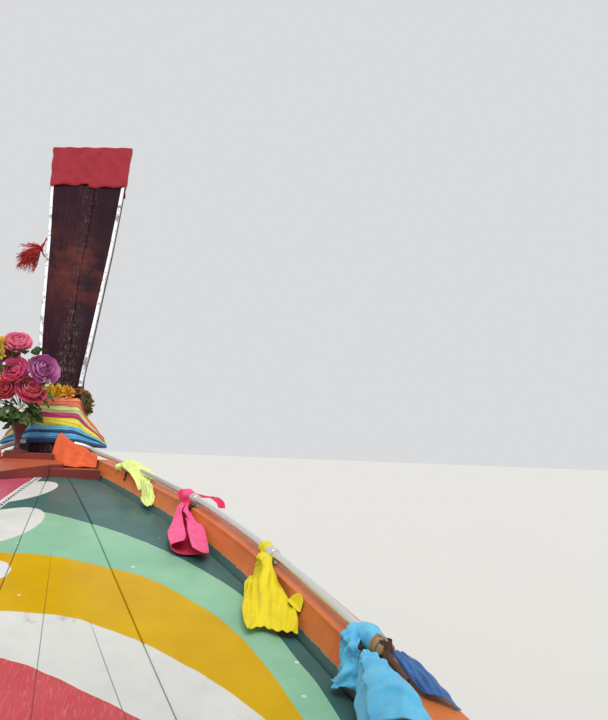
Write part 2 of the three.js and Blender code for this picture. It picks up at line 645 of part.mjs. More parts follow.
// What is wrapped round the prow: an outline set out from the prow's faces, with the prow taken out of it
function around(levels) {
  return cut(loft(levels.map(([z, out]) => prowRing([z, ...prowAt(z).slice(1)], out).map(slanted))), prow(0.6));
}
const capLevels = [CAP_CLOTH.low, (CAP_CLOTH.low + CAP_CLOTH.high) / 2, CAP_CLOTH.high];
add('prow_cap', around(capLevels.map((z) => [z, CAP_CLOTH.thick])), 'red');

// The wound cloths widen into their bundle at the sides, and the board above the bundle is bare
function wrap() {
  const ring = (z, side) => {
    const [, aftX, aftHalf, midX, midHalf, foreX, foreHalf] = prowAt(z);
    const half = [[aftX - WRAP.thick, aftHalf + WRAP.thick, z], [midX, midHalf + side, z], [foreX + side, foreHalf + side, z]];
    return [...half, ...mirror(half.toReversed())];
  };
  const endX = WRAP.cornerX + (WRAP.high - WRAP.bundleTop) / WRAP.fall;
  const above = [[WRAP.cornerX, WRAP.high], [endX, WRAP.bundleTop], [5300, WRAP.bundleTop], [5300, 1400], [WRAP.cornerX, 1400]];
  const bareBoard = loft([-400, 400].map((y) => above.map(([x, z]) => [x, y, z])));
  return cut(loft(WRAP_FLARE.map((row) => ring(...row))), prow(0.6), bareBoard);
}
add('prow_wrap', wrap(), 'salmon');

function garland() {
  const profile = Array.from({ length: 5 }, (_, i) => (Math.PI * i) / 4);
  return around(profile.map((a) => [GARLAND.z - GARLAND.r * Math.cos(a), GARLAND.r * (0.7 + Math.sin(a))]));
}
add('garland', garland(), 'marigold');

function tassel() {
  const rings = [[2040, 95], [2150, 125], [2230, 30]].map(([z, reach]) => {
    const [, , , x, half] = prowAt(z);
    return [[x - 60, half - 12, z], [x - 60, half + reach, z], [x - 20, half + reach, z], [x - 20, half - 12, z]];
  });
  return cut(loft(rings), prow(0.6));
}
add('tassel', tassel(), 'red');

// Flower stand on the step board, and the bouquet in it
const STAND = [4450, 140];
function flowerStand() {
  const profile = [[0, 0], [53, 0], [53, 7], [15, 16], [13, 70], [26, 104], [46, 145], [0, 145]];
  const g = new THREE.LatheGeometry(profile.map(([r, z]) => new THREE.Vector2(r, z)), 16);
  return g.rotateX(Math.PI / 2).translate(STAND[0], STAND[1], STEP.top + GAP);
}
add('flower_stand', flowerStand(), 'beam');

function bouquet() {
  const ball = new THREE.IcosahedronGeometry(1, 2).scale(125, 150, 235).translate(STAND[0], STAND[1] + 10, 1365);
  const stand = loft([900, 1146].map((z) => [[-60, -60], [60, -60], [60, 60], [-60, 60]]
    .map(([x, y]) => [STAND[0] + x, STAND[1] + y, z])));
  const clear = loft([1000, 1160, 1350, 1600, 1700].map((z) => prowRing([z, ...prowAt(z).slice(1)], GARLAND.r * 1.7 + 2)));
  return cut(ball, stand, clear);
}
add('bouquet', bouquet(), 'leaf');

// Bow rails: a bent tube on four stanchions each side
function railPoint(x) {
  const [, y, z] = outerAt(x, 1);
  return [x, y - RAIL_INSET, z + RAIL_HEIGHT];
}

function rail(side, room = 0) {
  const aft = railPoint(RAIL_AFT);
  const run = [2700, 2960, 3240, 3520, 3830, 4120, 4380].map(railPoint);
  const bend = [[4462, 228, 1012], [4510, 160, 1042]];
  const flip = ([x, y, z]) => [x, side * y, z];
  const line = tube([aft, ...run, ...bend].map(flip), RAIL_R + room, 8, 30);
  const posts = [2460, 2960, 3520, 4120].map((x) => {
    const top = railPoint(x);
    const base = top[2] - RAIL_HEIGHT + CAP + 4;
    const at = (z) => flip([x, top[1], z]);
    return join(bar(at(base - room), at(base + 5 + room), 15 + room, 8), bar(at(base), at(top[2]), 7 + room, 6));
  });
  const end = bar(flip(bend[1]), flip([4516, 112, 1052]), RAIL_R, 8);
  // The aft end is lashed to a peg on the gunwale
  const [px, py, pz] = railPoint(RAIL_AFT - PEG.back);
  const foot = pz - RAIL_HEIGHT + CAP + 3;
  const peg = bar(flip([px, py, foot - room]), flip([px, py, pz + PEG.head + room]), PEG.r + room, 8);
  const lashing = bar(flip([px - PEG.r - room, py, pz]), flip([RAIL_AFT + 12 + room, aft[1], aft[2]]), PEG.lashing + room, 10);
  return join(line, ...posts, end, peg, lashing);
}
add('bow_rail_port', rail(1), 'steel');
add('bow_rail_starboard', rail(-1), 'steel');

// Cloths: each is the space between its draped top and what it lies on: rail, gunwale and deck
const CLOTH_DEPTH = 110;      // from a cloth's top to well below the deck
function gunwaleAndOutboard() {
  const rows = gunwaleStations.filter((s) => column(COL.sheerX, s) > 1700);
  return loft(rows.map((s) => {
    const face = INWALE_NEAR + INWALE + GAP;
    const [inside, outside] = [besideTop(s, face, -CAP - GAP), besideTop(s, -OUTWALE - 60, -CAP - GAP)];
    const foot = besideTop(s, face, INWALE_DEPTH);
    return [inside, outside, [outside[0], outside[1], outside[2] - 250], [foot[0], foot[1], foot[2] - 150], foot];
  }));
}

function underDeck() {
  return loft(deckRows.map((x) => {
    const ys = Array.from({ length: 7 }, (_, i) => mix(300, 1000, i / 6));
    const top = ys.map((y) => [x, y, deckZ(x, y) + GAP]);
    return [...top, ...top.toReversed().map(([px, y, z]) => [px, y, z - 250])];
  }));
}

const RAIL_ROOM = 1.3;         // between a cloth and the rail, whose flats do not line up from side to side
const underCloths = [gunwaleAndOutboard(), underDeck(), rail(1, RAIL_ROOM)];
for (const [name, rows] of Object.entries(CLOTHS)) {
  const space = loft(rows.map(([x0, y0, z0, x1, y1, z1]) => (
    [[x0, y0, z0], [x1, y1, z1], [x1, y1, z1 - CLOTH_DEPTH], [x0, y0, z0 - CLOTH_DEPTH]])));
  const pieces = underCloths.map(solid).reduce((a, b) => a.subtract(b), solid(space)).decompose();
  const cloth = fromSolid(pieces.reduce((a, b) => (a.volume() > b.volume() ? a : b)));
  add(`cloth_${name}_port`, cloth, name);
  add(`cloth_${name}_starboard`, facingOut(bare(cloth.clone().scale(1, -1, 1))), name);
}

// Orange cloths at the rails' fore ends. Columns: y, aft x, fore x, top. They stand on the bow beam.
const ORANGE = {
  starboard: [[-31, 4430, 4500, 1070], [-44, 4425, 4505, 1096], [-62, 4420, 4505, 1082], [-100, 4415, 4495, 1046],
    [-160, 4405, 4480, 1024], [-200, 4400, 4440, 1000]],
  port: [[200, 4400, 4442, 1002], [226, 4400, 4436, 1000]],
};
for (const [name, rows] of Object.entries(ORANGE)) {
  const low = BEAM_TOP + 0.8;
  add(`cloth_orange_${name}`, loft(rows.map(([y, x0, x1, z]) => [[x0, y, low], [x1, y, low], [x1, y, z], [x0, y, z]])), 'saffron');
}

// Canopy: posts and rails on each side, arched beams and a curved roof
const canopyPost = (x) => sheerAt(x)[1] - 32;
for (const [side, name] of [[1, 'port'], [-1, 'starboard']]) {
  const rail0 = box(CANOPY.aft, CANOPY.fore, -25, 25, CANOPY.eave - 50, CANOPY.eave).translate(0, side * (CANOPY.halfWidth - 70), 0);
  const posts = POST_X.map((x) => {
    const foot = Math.max(sheerAt(x - 25)[2], sheerAt(x + 25)[2]) + CAP + 1.8;
    const ring = (y, z) => [[x - 25, side * (y - 20), z], [x + 25, side * (y - 20), z],
      [x + 25, side * (y + 20), z], [x - 25, side * (y + 20), z]];
    return loft([ring(canopyPost(x), foot), ring(CANOPY.halfWidth - 70, CANOPY.eave - 20)]);
  });
  add(`canopy_side_${name}`, join(rail0, ...posts), 'wood');
}

function arch(half, low, thick, x0, x1, segments) {
  const curve = (y, lift) => CANOPY.eave + lift + CANOPY.rise * (1 - (y / CANOPY.halfWidth) ** 2);
  const ys = [];
  for (let i = 0; i <= segments; i += 1) ys.push(mix(-half, half, i / segments));
  const ring = (x) => [...ys.map((y) => [x, y, curve(y, low)]), ...ys.toReversed().map((y) => [x, y, curve(y, low + thick)])];
  return loft([ring(x0), ring(x1)]);
}

function canopyBeams() {
  const edge = CANOPY.halfWidth - 70;
  const beams = [...POST_X, CANOPY.fore - 25, CANOPY.aft + 25].map((x) => arch(edge + 25, -38, 36, x - 20, x + 20, 10));
  const ridge = box(CANOPY.aft + 5, CANOPY.fore - 5, -25, 25, CANOPY.eave + CANOPY.rise - 44, CANOPY.eave + CANOPY.rise - 10);
  const rails = box(CANOPY.aft - 10, CANOPY.fore + 10, -26, 26, CANOPY.eave - 60, CANOPY.eave + GAP);
  return cut(join(...beams, ridge), rails.clone().translate(0, edge, 0), rails.clone().translate(0, -edge, 0));
}
add('canopy_beams', canopyBeams(), 'wood');
add('canopy_roof', arch(CANOPY.halfWidth, 0, 14, CANOPY.aft - 40, CANOPY.fore + 40, 12), 'roof');

// Engine post on the stern deck
const pivotX = PIVOT[0];
function post() {
  const plate = loft([-130, 130].map((dx) => {
    const z = sternDeckZ(pivotX + dx) + GAP;
    return [[pivotX + dx, 130, z], [pivotX + dx, -130, z], [pivotX + dx, -130, z + 16], [pivotX + dx, 130, z + 16]];
  }));
  const column0 = bar([pivotX, 0, sternDeckZ(pivotX) + 8], [pivotX, 0, PIVOT[2] - 160], 48, 16);
  const webs = [box(pivotX - 110, pivotX + 110, -6, 6, 0, 120), box(pivotX - 6, pivotX + 6, -110, 110, 0, 120)]
    .map((web) => web.translate(0, 0, sternDeckZ(pivotX) + 14));
  return join(plate, column0, ...webs);
}
add('engine_post', post(), 'iron');

// Yoke: turns on the post and carries the engine between two cheeks
function yoke() {
  const base = PIVOT[2] - 160 + GAP;
  const cheek = (y) => [
    box(pivotX - 45, pivotX + 45, y - 14, y + 14, base + 22, PIVOT[2]),
    bar([pivotX, y - 14, PIVOT[2]], [pivotX, y + 14, PIVOT[2]], 45, 16),
  ];
  return join(
    bar([pivotX, 0, base], [pivotX, 0, base + 26], 62, 16),
    box(pivotX - 60, pivotX + 60, -219, 219, base + 22, base + 46),
    ...cheek(205), ...cheek(-205),
  );
}
add('yoke', yoke(), 'iron');

// Everything that tilts is drawn along the shaft: local X runs up the shaft toward the engine
const tilt = new THREE.Group();
tilt.position.set(...PIVOT);
tilt.rotation.y = -SHAFT_ANGLE;
boat.add(tilt);

function engine() {
  const trunnion = [bar([0, 140, 0], [0, 190.4, 0], 26, 14), bar([0, -190.4, 0], [0, -140, 0], 26, 14)];
  const saddle = box(-70, 470, -150, 150, -62, -30);
  const sump = box(60, 440, -105, 105, -50, 60);
  const block = box(20, 490, -130, 130, 40, 270);
  const head = box(40, 470, -105, 105, 260, 350);
  const cover = box(60, 450, -60, 60, 340, 385);
  const bell = bar([30, 0, 90], [-140, 0, 60], 135, 18, 90);
  const neck = join(bar([-130, 0, 60], [-268, 0, 6], 80, 16, 46), bar([-240, 0, 0], [-300, 0, 0], 46, 14));
  const pulley = bar([485, 0, 90], [530, 0, 90], 85, 18);
  const fan = bar([485, 0, 230], [525, 0, 230], 60, 16);
  const alternator = bar([330, 175, 200], [480, 175, 200], 55, 14);
  const bracket = box(380, 430, 120, 180, 130, 230);
  const filter = bar([150, 150, 330], [290, 150, 330], 62, 16);
  const intake = box(190, 250, 60, 150, 290, 340);
  const header = [110, 210, 310, 410].map((x) => bar([x, -100, 300], [x, -172, 270], 19, 8));
  const manifold = bar([80, -172, 270], [450, -172, 270], 26, 10);
  const exhaust = bar([90, -172, 270], [-20, -172, 640], 28, 12);
  const muffler = bar([60, -172, 380], [10, -172, 540], 48, 14);
  const seat = box(-60, 80, -145, 145, -40, 20);
  return join(
    ...trunnion, saddle, sump, block, head, cover, bell, neck, pulley, fan, alternator, bracket, filter, intake,
    ...header, manifold, exhaust, muffler, seat,
  );
}
add('engine', engine(), 'engine', tilt);

// Shaft tube with its stay, skeg and the bearing block ahead of the propeller
function shaftTube() {
  const line = bar([-300 - GAP, 0, 0], [-SHAFT_LENGTH + 110, 0, 0], 30, 14);
  const socket = bar([-300 - GAP, 0, 0], [-420, 0, 0], 46, 14);
  const bearing = bar([-SHAFT_LENGTH + 230, 0, 0], [-SHAFT_LENGTH + 62, 0, 0], 40, 14);
  const stay = tube([[-400, 0, 34], [-700, 0, 120], [-1700, 0, 120], [-2500, 0, 26]], 11, 8, 20);
  const struts = [-1000, -1500].map((x) => bar([x, 0, 10], [x, 0, 120], 8, 8));
  const skeg = loft([-6, 6].map((y) => [
    [-SHAFT_LENGTH + 420, y, -25], [-SHAFT_LENGTH + 100, y, -25], [-SHAFT_LENGTH + 60, y, -210], [-SHAFT_LENGTH + 110, y, -210],
  ]));
  return join(line, socket, bearing, stay, ...struts, skeg);
}
add('shaft_tube', shaftTube(), 'iron', tilt);

function propeller() {
  const hub = new THREE.LatheGeometry(
    [[0, -75], [22, -70], [34, -40], [38, 0], [36, 52], [20, 61.6], [0, 61.6]].map(([r, z]) => new THREE.Vector2(r, z)), 18,
  ).rotateZ(-Math.PI / 2);
  const blades = [0, 1, 2].map((k) => {
    const rings = [[25, 20, 32], [80, 62, 26], [130, 66, 18], [165, 34, 12]].map(([r, chord, turn], i) => {
      const angle = THREE.MathUtils.degToRad(turn + 30 - 6 * i);
      const thick = 5 - i;
      const point = (c, t) => [c * Math.sin(angle) + t * Math.cos(angle), c * Math.cos(angle) - t * Math.sin(angle), r];
      return [point(-chord, 0), point(0, -thick), point(chord, 0), point(0, thick)];
    });
    return loft(rings).rotateX((2 * Math.PI * k) / 3);
  });
  return join(hub, ...blades).translate(-SHAFT_LENGTH, 0, 0);
}
add('propeller', propeller(), 'bronze', tilt);

// Tiller: a long handle from the engine's head, level when the shaft is in the water
function tiller() {
  const level = (x, z) => {
    const [c, s] = [Math.cos(SHAFT_ANGLE), Math.sin(SHAFT_ANGLE)];
    return [x * c + z * s, 0, -x * s + z * c];
  };
  const foot = [400, 0, 455];
  return join(
    tube([foot, level(560, 520), level(1000, 340), level(1620, 270)], 17, 8, 14),
    bar(foot, [400, 0, 385 + GAP], 24, 10),
    bar(level(1500, 276), level(1700, 268), 22, 10),
  );
}
add('tiller', tiller(), 'iron', tilt);

// Fuel tank on the stern deck
function fuelTank() {
  const g = join(
    box(-150, 150, -110, 110, GAP, 230), bar([60, 40, 225], [60, 40, 256], 34, 12),
    tube([[-60, -20, 222], [-50, -20, 268], [50, -20, 268], [60, -20, 222]], 9, 6, 8),
  );
  const slope = Math.atan2(STERN_DECK.aftZ - STERN_DECK.foreZ, STERN_DECK.foreX - STERN_DECK.aftX);
  return g.rotateY(slope).translate(-4800, 300, sternDeckZ(-4800));
}
add('fuel_tank', fuelTank(), 'tank');

export default boat;
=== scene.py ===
"""A wooden longtail boat's looks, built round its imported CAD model. Metres: +X forward, +Y port, +Z up,
waterline at z = 0."""
import json
import math

import bmesh
import bpy
import numpy as np
from mathutils import Matrix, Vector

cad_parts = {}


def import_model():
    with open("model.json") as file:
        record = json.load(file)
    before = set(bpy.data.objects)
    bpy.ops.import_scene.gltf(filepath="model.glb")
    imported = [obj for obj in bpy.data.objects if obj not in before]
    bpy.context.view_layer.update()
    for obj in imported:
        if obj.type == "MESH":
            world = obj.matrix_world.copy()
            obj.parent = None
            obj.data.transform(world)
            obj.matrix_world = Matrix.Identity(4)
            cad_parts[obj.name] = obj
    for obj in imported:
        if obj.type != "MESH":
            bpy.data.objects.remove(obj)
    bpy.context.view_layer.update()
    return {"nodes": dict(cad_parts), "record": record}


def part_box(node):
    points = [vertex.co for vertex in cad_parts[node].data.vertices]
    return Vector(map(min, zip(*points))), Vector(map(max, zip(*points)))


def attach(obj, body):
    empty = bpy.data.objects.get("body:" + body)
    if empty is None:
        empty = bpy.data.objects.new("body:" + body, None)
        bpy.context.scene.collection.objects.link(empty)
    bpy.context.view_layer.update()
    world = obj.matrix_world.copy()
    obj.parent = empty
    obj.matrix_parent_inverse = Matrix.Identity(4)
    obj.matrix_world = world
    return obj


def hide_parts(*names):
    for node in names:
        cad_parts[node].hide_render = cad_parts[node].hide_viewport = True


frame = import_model()
TAU = 2 * math.pi
SIDES = {"port": 1, "starboard": -1}


# Camera, floor and light: the camera stands on the floorboards, to starboard of the middle, and looks at
# the prow
def photo_camera(place, heading, pitch, roll, lens):
    """Its axes: forward from heading and pitch, then right and up turned about it by the roll, all in
    degrees."""
    h, p, r = np.radians([heading, pitch, roll])
    forward = np.array([math.cos(h) * math.cos(p), -math.sin(h) * math.cos(p), math.sin(p)])
    level = np.array([-math.sin(h), -math.cos(h), 0.0])
    over = np.cross(level, forward)
    right = math.cos(r) * level + math.sin(r) * over
    up = -math.sin(r) * level + math.cos(r) * over
    data = bpy.data.cameras.new("photo_camera")
    data.lens = lens
    data.sensor_width = 36
    data.clip_start = 0.05
    camera = bpy.data.objects.new("photo_camera", data)
    matrix = np.eye(4)
    matrix[:3, :3] = np.stack([right, up, -forward], 1)
    matrix[:3, 3] = place
    camera.matrix_world = Matrix(matrix.tolist())
    bpy.context.scene.collection.objects.link(camera)
    bpy.context.scene.camera = camera


def broad_lamp(toward_lamp, strength, spread, tint):
    """A lamp as broad as a wall of soft boxes, spread in degrees: its own Z axis points back at it."""
    data = bpy.data.lights.new("broad_lamp", "SUN")
    data.energy, data.angle, data.color = strength, math.radians(spread), tint
    lamp = bpy.data.objects.new("broad_lamp", data)
    back = np.array(toward_lamp) / np.linalg.norm(toward_lamp)
    side = np.cross([0, 0, 1], back)
    side /= np.linalg.norm(side)
    matrix = np.eye(4)
    matrix[:3, :3] = np.stack([side, np.cross(back, side), back], 1)
    matrix[:3, 3] = back * 12
    lamp.matrix_world = Matrix(matrix.tolist())
    bpy.context.scene.collection.objects.link(lamp)


photo_camera(place=(1.25, -0.37, 1.08), heading=15.6, pitch=8.2, roll=2.5, lens=30.45)
broad_lamp(toward_lamp=(-0.62, 0.08, 0.78), strength=1.75, spread=40, tint=(1.0, 0.98, 0.95))


# Shapes
def curve(points, count=64):
    """A smooth line through points: cubic pieces, with the slope at a point taken from the line through its
    neighbours."""
    p = np.asarray(points, float)
    s = np.concatenate([[0], np.cumsum(np.linalg.norm(np.diff(p, axis=0), axis=1))])
    slope = np.gradient(p, s, axis=0)
    t = np.linspace(0, s[-1], count)
    i = np.clip(np.searchsorted(s, t, side="right") - 1, 0, len(p) - 2)
    h = (s[i + 1] - s[i])[:, None]
    u = (t - s[i])[:, None] / h
    return ((2 * u**3 - 3 * u**2 + 1) * p[i] + (u**3 - 2 * u**2 + u) * h * slope[i]
            + (3 * u**2 - 2 * u**3) * p[i + 1] + (u**3 - u**2) * h * slope[i + 1])


def line(points, count=24):
    """Straight runs through points, evenly spaced along their length."""
    p = np.asarray(points, float)
    s = np.concatenate([[0], np.cumsum(np.linalg.norm(np.diff(p, axis=0), axis=1))])
    t = np.linspace(0, s[-1], count)
    return np.stack([np.interp(t, s, p[:, k]) for k in range(3)], 1)


def frames(path, up=(0, 0, 1)):
    """At each point of a path: the side direction, square to the path and to up, and the one square to
    both."""
    along = np.gradient(np.asarray(path, float), axis=-2)
    side = np.cross(along, up)
    side /= np.linalg.norm(side, axis=-1, keepdims=True)
    over = np.cross(side, along)
    return side, over / np.linalg.norm(over, axis=-1, keepdims=True)


def shell(grid, around=False, ends=False, uv=None):
    """The quads of a grid of points [..., row, column, xyz]; leading axes are copies. around joins last
    column to first."""
    grid = np.asarray(grid, float)
    rows, cols = grid.shape[-3:-1]
    copies = grid.reshape(-1, rows * cols, 3)
    i = np.arange(rows - 1)[:, None] * cols
    j = np.arange(cols if around else cols - 1)[None]
    a, b = i + j, i + (j + 1) % cols
    quads = np.stack([a, b, b + cols, a + cols], -1).reshape(-1, 4)
    starts = np.arange(len(copies)) * rows * cols
    faces = (quads[None] + starts[:, None, None]).reshape(-1, 4).tolist()
    if ends:
        for start in starts:
            faces += [list(range(start, start + cols)),
                      list(range(start + (rows - 1) * cols, start + rows * cols))]
    if uv is None:
        uv = np.stack(np.meshgrid(np.linspace(0, 1, cols), np.linspace(0, 1, rows)), -1)
    uv = np.broadcast_to(uv, grid.shape[:-1] + (2,)).reshape(-1, 2)
    return copies.reshape(-1, 3), faces, uv


def tube(path, radius, sides=12, up=(0, 0, 1)):
    """A circle of the given radius, or one radius for each point, carried along a path."""
    path = np.asarray(path, float)
    side, over = frames(path, up)
    a = np.linspace(0, TAU, sides, endpoint=False)[:, None]
    r = np.broadcast_to(np.asarray(radius, float)[..., None, None], (len(path), 1, 1))
    grid = path[:, None] + r * (np.cos(a) * side[:, None] + np.sin(a) * over[:, None])
    return shell(grid, around=True, ends=True)


def turned(profile, place, axis=(0, 0, 1), sides=24):
    """A profile of (radius, height) pairs turned about an axis through a place."""
    axis = np.asarray(axis, float) / np.linalg.norm(axis)
    side = np.cross(axis, (1, 0, 0) if abs(axis[0]) < 0.9 else (0, 1, 0))
    side /= np.linalg.norm(side)
    over = np.cross(axis, side)
    r, h = np.asarray(profile, float).T
    a = np.linspace(0, TAU, sides, endpoint=False)[:, None]
    ring = np.cos(a) * side + np.sin(a) * over
    grid = np.asarray(place) + np.maximum(r, 1e-5)[:, None, None] * ring + h[:, None, None] * axis
    return shell(grid, around=True, ends=True)


def slab(low, high):
    """A box between two corners, as a square profile carried upward."""
    (x0, y0, z0), (x1, y1, z1) = low, high
    grid = [[(x0, y0, z), (x1, y0, z), (x1, y1, z), (x0, y1, z)] for z in (z0, z1)]
    return shell(grid, around=True, ends=True)


def moved(shape, move=(0, 0, 0), turn=None):
    """A shape turned about the origin by a rotation matrix, then moved."""
    points, faces, uv = shape
    if turn is not None:
        points = points @ np.asarray(turn).T
    return points + move, faces, uv


def mirrored(shape):
    """A shape carried over to the boat's other side: y becomes -y."""
    points, faces, uv = shape
    return points * [1, -1, 1], faces, uv


def piece(name, shapes, material, body="boat", replaces=(), slot=None, angle=35, bevel=0.0, closed=True,
          tint=None):
    """One object from a list of shapes. Shapes that close have their normals turned out; edges sharper than
    angle stay sharp."""
    counts = np.cumsum([0] + [len(s[0]) for s in shapes])
    points = np.concatenate([s[0] for s in shapes])
    faces = [[v + start for v in face] for s, start in zip(shapes, counts.tolist()) for face in s[1]]
    uvs = np.concatenate([s[2] for s in shapes])
    mesh = bpy.data.meshes.new(name)
    mesh.from_pydata(points.tolist(), [], faces)
    corner = np.zeros(len(mesh.loops), int)
    mesh.loops.foreach_get("vertex_index", corner)
    mesh.uv_layers.new(name="UVMap").data.foreach_set("uv", uvs[corner].ravel())
    if tint is not None:
        rgba = np.ones((len(points), 4))
        rgba[:, :3] = tint
        mesh.color_attributes.new("tint", "FLOAT_COLOR", "POINT").data.foreach_set("color", rgba.ravel())
    if closed:
        tidy(mesh)
    return keep(name, mesh, material, body, replaces, slot, angle, bevel)


def tidy(mesh, flat=None):
    """Merges doubles, takes out needless edges of flat faces where asked, and turns the normals out."""
    work = bmesh.new()
    work.from_mesh(mesh)
    bmesh.ops.remove_doubles(work, verts=work.verts, dist=2e-6)
    if flat:
        bmesh.ops.dissolve_limit(work, angle_limit=flat, verts=work.verts, edges=work.edges)
    bmesh.ops.recalc_face_normals(work, faces=work.faces)
    work.to_mesh(mesh)
    work.free()


def keep(name, mesh, material, body, replaces, slot, angle, bevel):
    """Shades a mesh smooth up to its sharp edges, eases those, and names its body and CAD nodes; slot is not
    used.
    """
    mesh.polygons.foreach_set("use_smooth", np.ones(len(mesh.polygons), bool))
    mesh.set_sharp_from_angle(angle=math.radians(angle))
    mesh.materials.append(material)
    obj = bpy.data.objects.new(name, mesh)
    bpy.context.scene.collection.objects.link(obj)
    if bevel:
        edge = obj.modifiers.new("edge", "BEVEL")
        edge.width, edge.segments, edge.limit_method = bevel, 2, "ANGLE"
        edge.angle_limit, edge.harden_normals = math.radians(max(angle, 30)), True
    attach(obj, body)
    if replaces:
        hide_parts(*replaces)
    return obj


def finished(node, material, bevel=0.002, angle=35, flat=0.002, body="boat"):
    """A merged copy of a CAD node with its edges eased, which stands for it."""
    mesh = frame["nodes"][node].data.copy()
    mesh.materials.clear()
    for layer in list(mesh.attributes):
        if layer.name == "custom_normal":
            mesh.attributes.remove(layer)
    tidy(mesh, flat)
    slots = {row["node"]: row["material_slot"] for row in frame["record"]["subparts"]}
    return keep(node + "_finish", mesh, material, body, [node], slots[node], angle, bevel)


def thick(obj, depth):
    """Gives a sheet its thickness, half of it to each side."""
    wall = obj.modifiers.new("thickness", "SOLIDIFY")
    wall.thickness, wall.offset = depth, 0
    return obj


# Materials
def colour(text):
    """An sRGB hex colour as linear red, green, blue and one."""
    c = np.array([int(text[i:i + 2], 16) for i in (1, 3, 5)]) / 255
    return (*np.where(c <= 0.04045, c / 12.92, ((c + 0.055) / 1.055) ** 2.4).tolist(), 1.0)


def add(tree, kind, *inputs, out=None, stops=None, **words):
    """Adds a node: a Math node where kind is in capitals, as its operation. Lower-case words are settings,
    capitalised ones inputs (an underscore is a space), the rest go to its live inputs in order; stops fill a
    colour ramp or a float curve. Gives an output of it."""
    node = tree.nodes.new("ShaderNode" + ("Math" if kind.isupper() else kind))
    if kind.isupper():
        node.operation = kind
    if kind == "Mix":
        node.data_type = "RGBA"
    for word, value in words.items():
        if word[0].islower():
            setattr(node, word, value)
    if stops and kind == "ValToRGB":
        ramp = node.color_ramp.elements
        while len(ramp) < len(stops):
            ramp.new(0.5)
        for element, (place, shade) in zip(ramp, stops):
            element.position, element.color = place, colour(shade) if isinstance(shade,
                    str) else (shade,) * 3 + (1,)
    elif stops:
        points = node.mapping.curves[0].points
        while len(points) < len(stops):
            points.new(0.5, 0.5)
        for point, place in zip(points, stops):
            point.location = place
        node.mapping.update()
    live = [socket for socket in node.inputs if socket.enabled]
    named = [(node.inputs[word.replace("_", " ")], value) for word,
             value in words.items() if word[0].isupper()]
    for socket, value in [*zip(live, inputs), *named]:
        if isinstance(value, bpy.types.NodeSocket):
            tree.links.new(value, socket)
        elif value is not None:
            socket.default_value = colour(value) if isinstance(value, str) else value
    return node.outputs[out] if out else next(socket for socket in node.outputs if socket.enabled)


def coat_of(name, **words):
    """A new material; the words set its shader's sockets."""
    made = bpy.data.materials.new(name)
    made.use_nodes = True
    shader = made.node_tree.nodes["Principled BSDF"]
    for word, value in words.items():
        shader.inputs[word.replace("_", " ")].default_value = colour(value) if isinstance(value,
                str) else value
    return made, made.node_tree, shader.inputs


def put(tree, socket, value):
    """Links a node's output to a socket."""
    tree.links.new(value, socket)


def enamel(name, face, under, wear=0.5, gloss=0.32, brush=(3, 60, 60), boards=None):
    """Brushed-on enamel over wood: faint brush marks along the boat, sun-faded patches, and chips down to the
    coat below. boards gives an axis and a board's width: the paint is split by a 2 mm seam at each joint."""
    made, tree, shader = coat_of(name, Roughness=gloss, IOR=1.5)
    place = add(tree, "TexCoord", out="Object")
    marks = add(tree, "TexNoise", add(tree, "Mapping", place, Scale=brush), Scale=6.0, Detail=6.0,
                Roughness=0.6)
    fade = add(tree, "TexNoise", place, Scale=1 / 0.22, Detail=3.0)
    chips = add(tree, "TexNoise", place, Scale=1 / 0.03, Detail=8.0, Roughness=0.72)
    tone = add(tree, "MapRange", fade, 0.3, 0.7, 0.82, 1.12)
    base = add(tree, "HueSaturation", None, 0.98, tone, 1.0, face)
    streaked = add(tree, "HueSaturation", None, None, add(tree, "MapRange", marks, 0.35, 0.7, 0.92, 1.08),
                   1.0, base)
    bare = add(tree, "MapRange", chips, 0.70 - 0.1 * wear, 0.72 - 0.1 * wear, 0.0, 1.0)
    mixed = add(tree, "Mix", bare, streaked, under)
    put(tree, shader["Roughness"],
        add(tree, "MapRange", add(tree, "ADD", bare, fade), 0.3, 1.4, gloss, 0.75))
    relief = add(tree, "SUBTRACT", add(tree, "MULTIPLY", marks, 0.6), bare)
    if boards:
        axis, width = boards
        away = add(tree, "PINGPONG", add(tree, "SeparateXYZ", place, out=axis), width / 2)
        seam = add(tree, "MapRange", away, 0.0007, 0.0016, 1.0, 0.0)
        mixed = add(tree, "Mix", seam, mixed, "#241c18")
        relief = add(tree, "SUBTRACT", relief, seam)
    put(tree, shader["Base Color"], mixed)
    put(tree, shader["Normal"], add(tree, "Bump", 0.25, 0.002, Height=relief))
    return made


def moulded(name, face, rough=0.5, grain=0.003, soft=0.0):
    """Moulded rubber or plastic: a fine even grain, dust in slow patches and a little light under the
    skin."""
    made, tree, shader = coat_of(name, Roughness=rough, IOR=1.5, Subsurface_Weight=soft,
                                 Subsurface_Scale=0.02)
    place = add(tree, "TexCoord", out="Object")
    dust = add(tree, "TexNoise", place, Scale=1 / 0.06, Detail=5.0, Roughness=0.6)
    fine = add(tree, "TexNoise", place, Scale=1 / grain, Detail=2.0)
    put(tree, shader["Base Color"],
        add(tree, "Mix", add(tree, "MapRange", dust, 0.5, 0.75, 0.0, 0.35), face, "#9a958c"))
    put(tree, shader["Roughness"], add(tree, "MapRange", dust, 0.3, 0.7, rough, min(rough + 0.3, 0.95)))
    put(tree, shader["Normal"], add(tree, "Bump", 0.25, grain * 0.15, Height=fine))
    return made


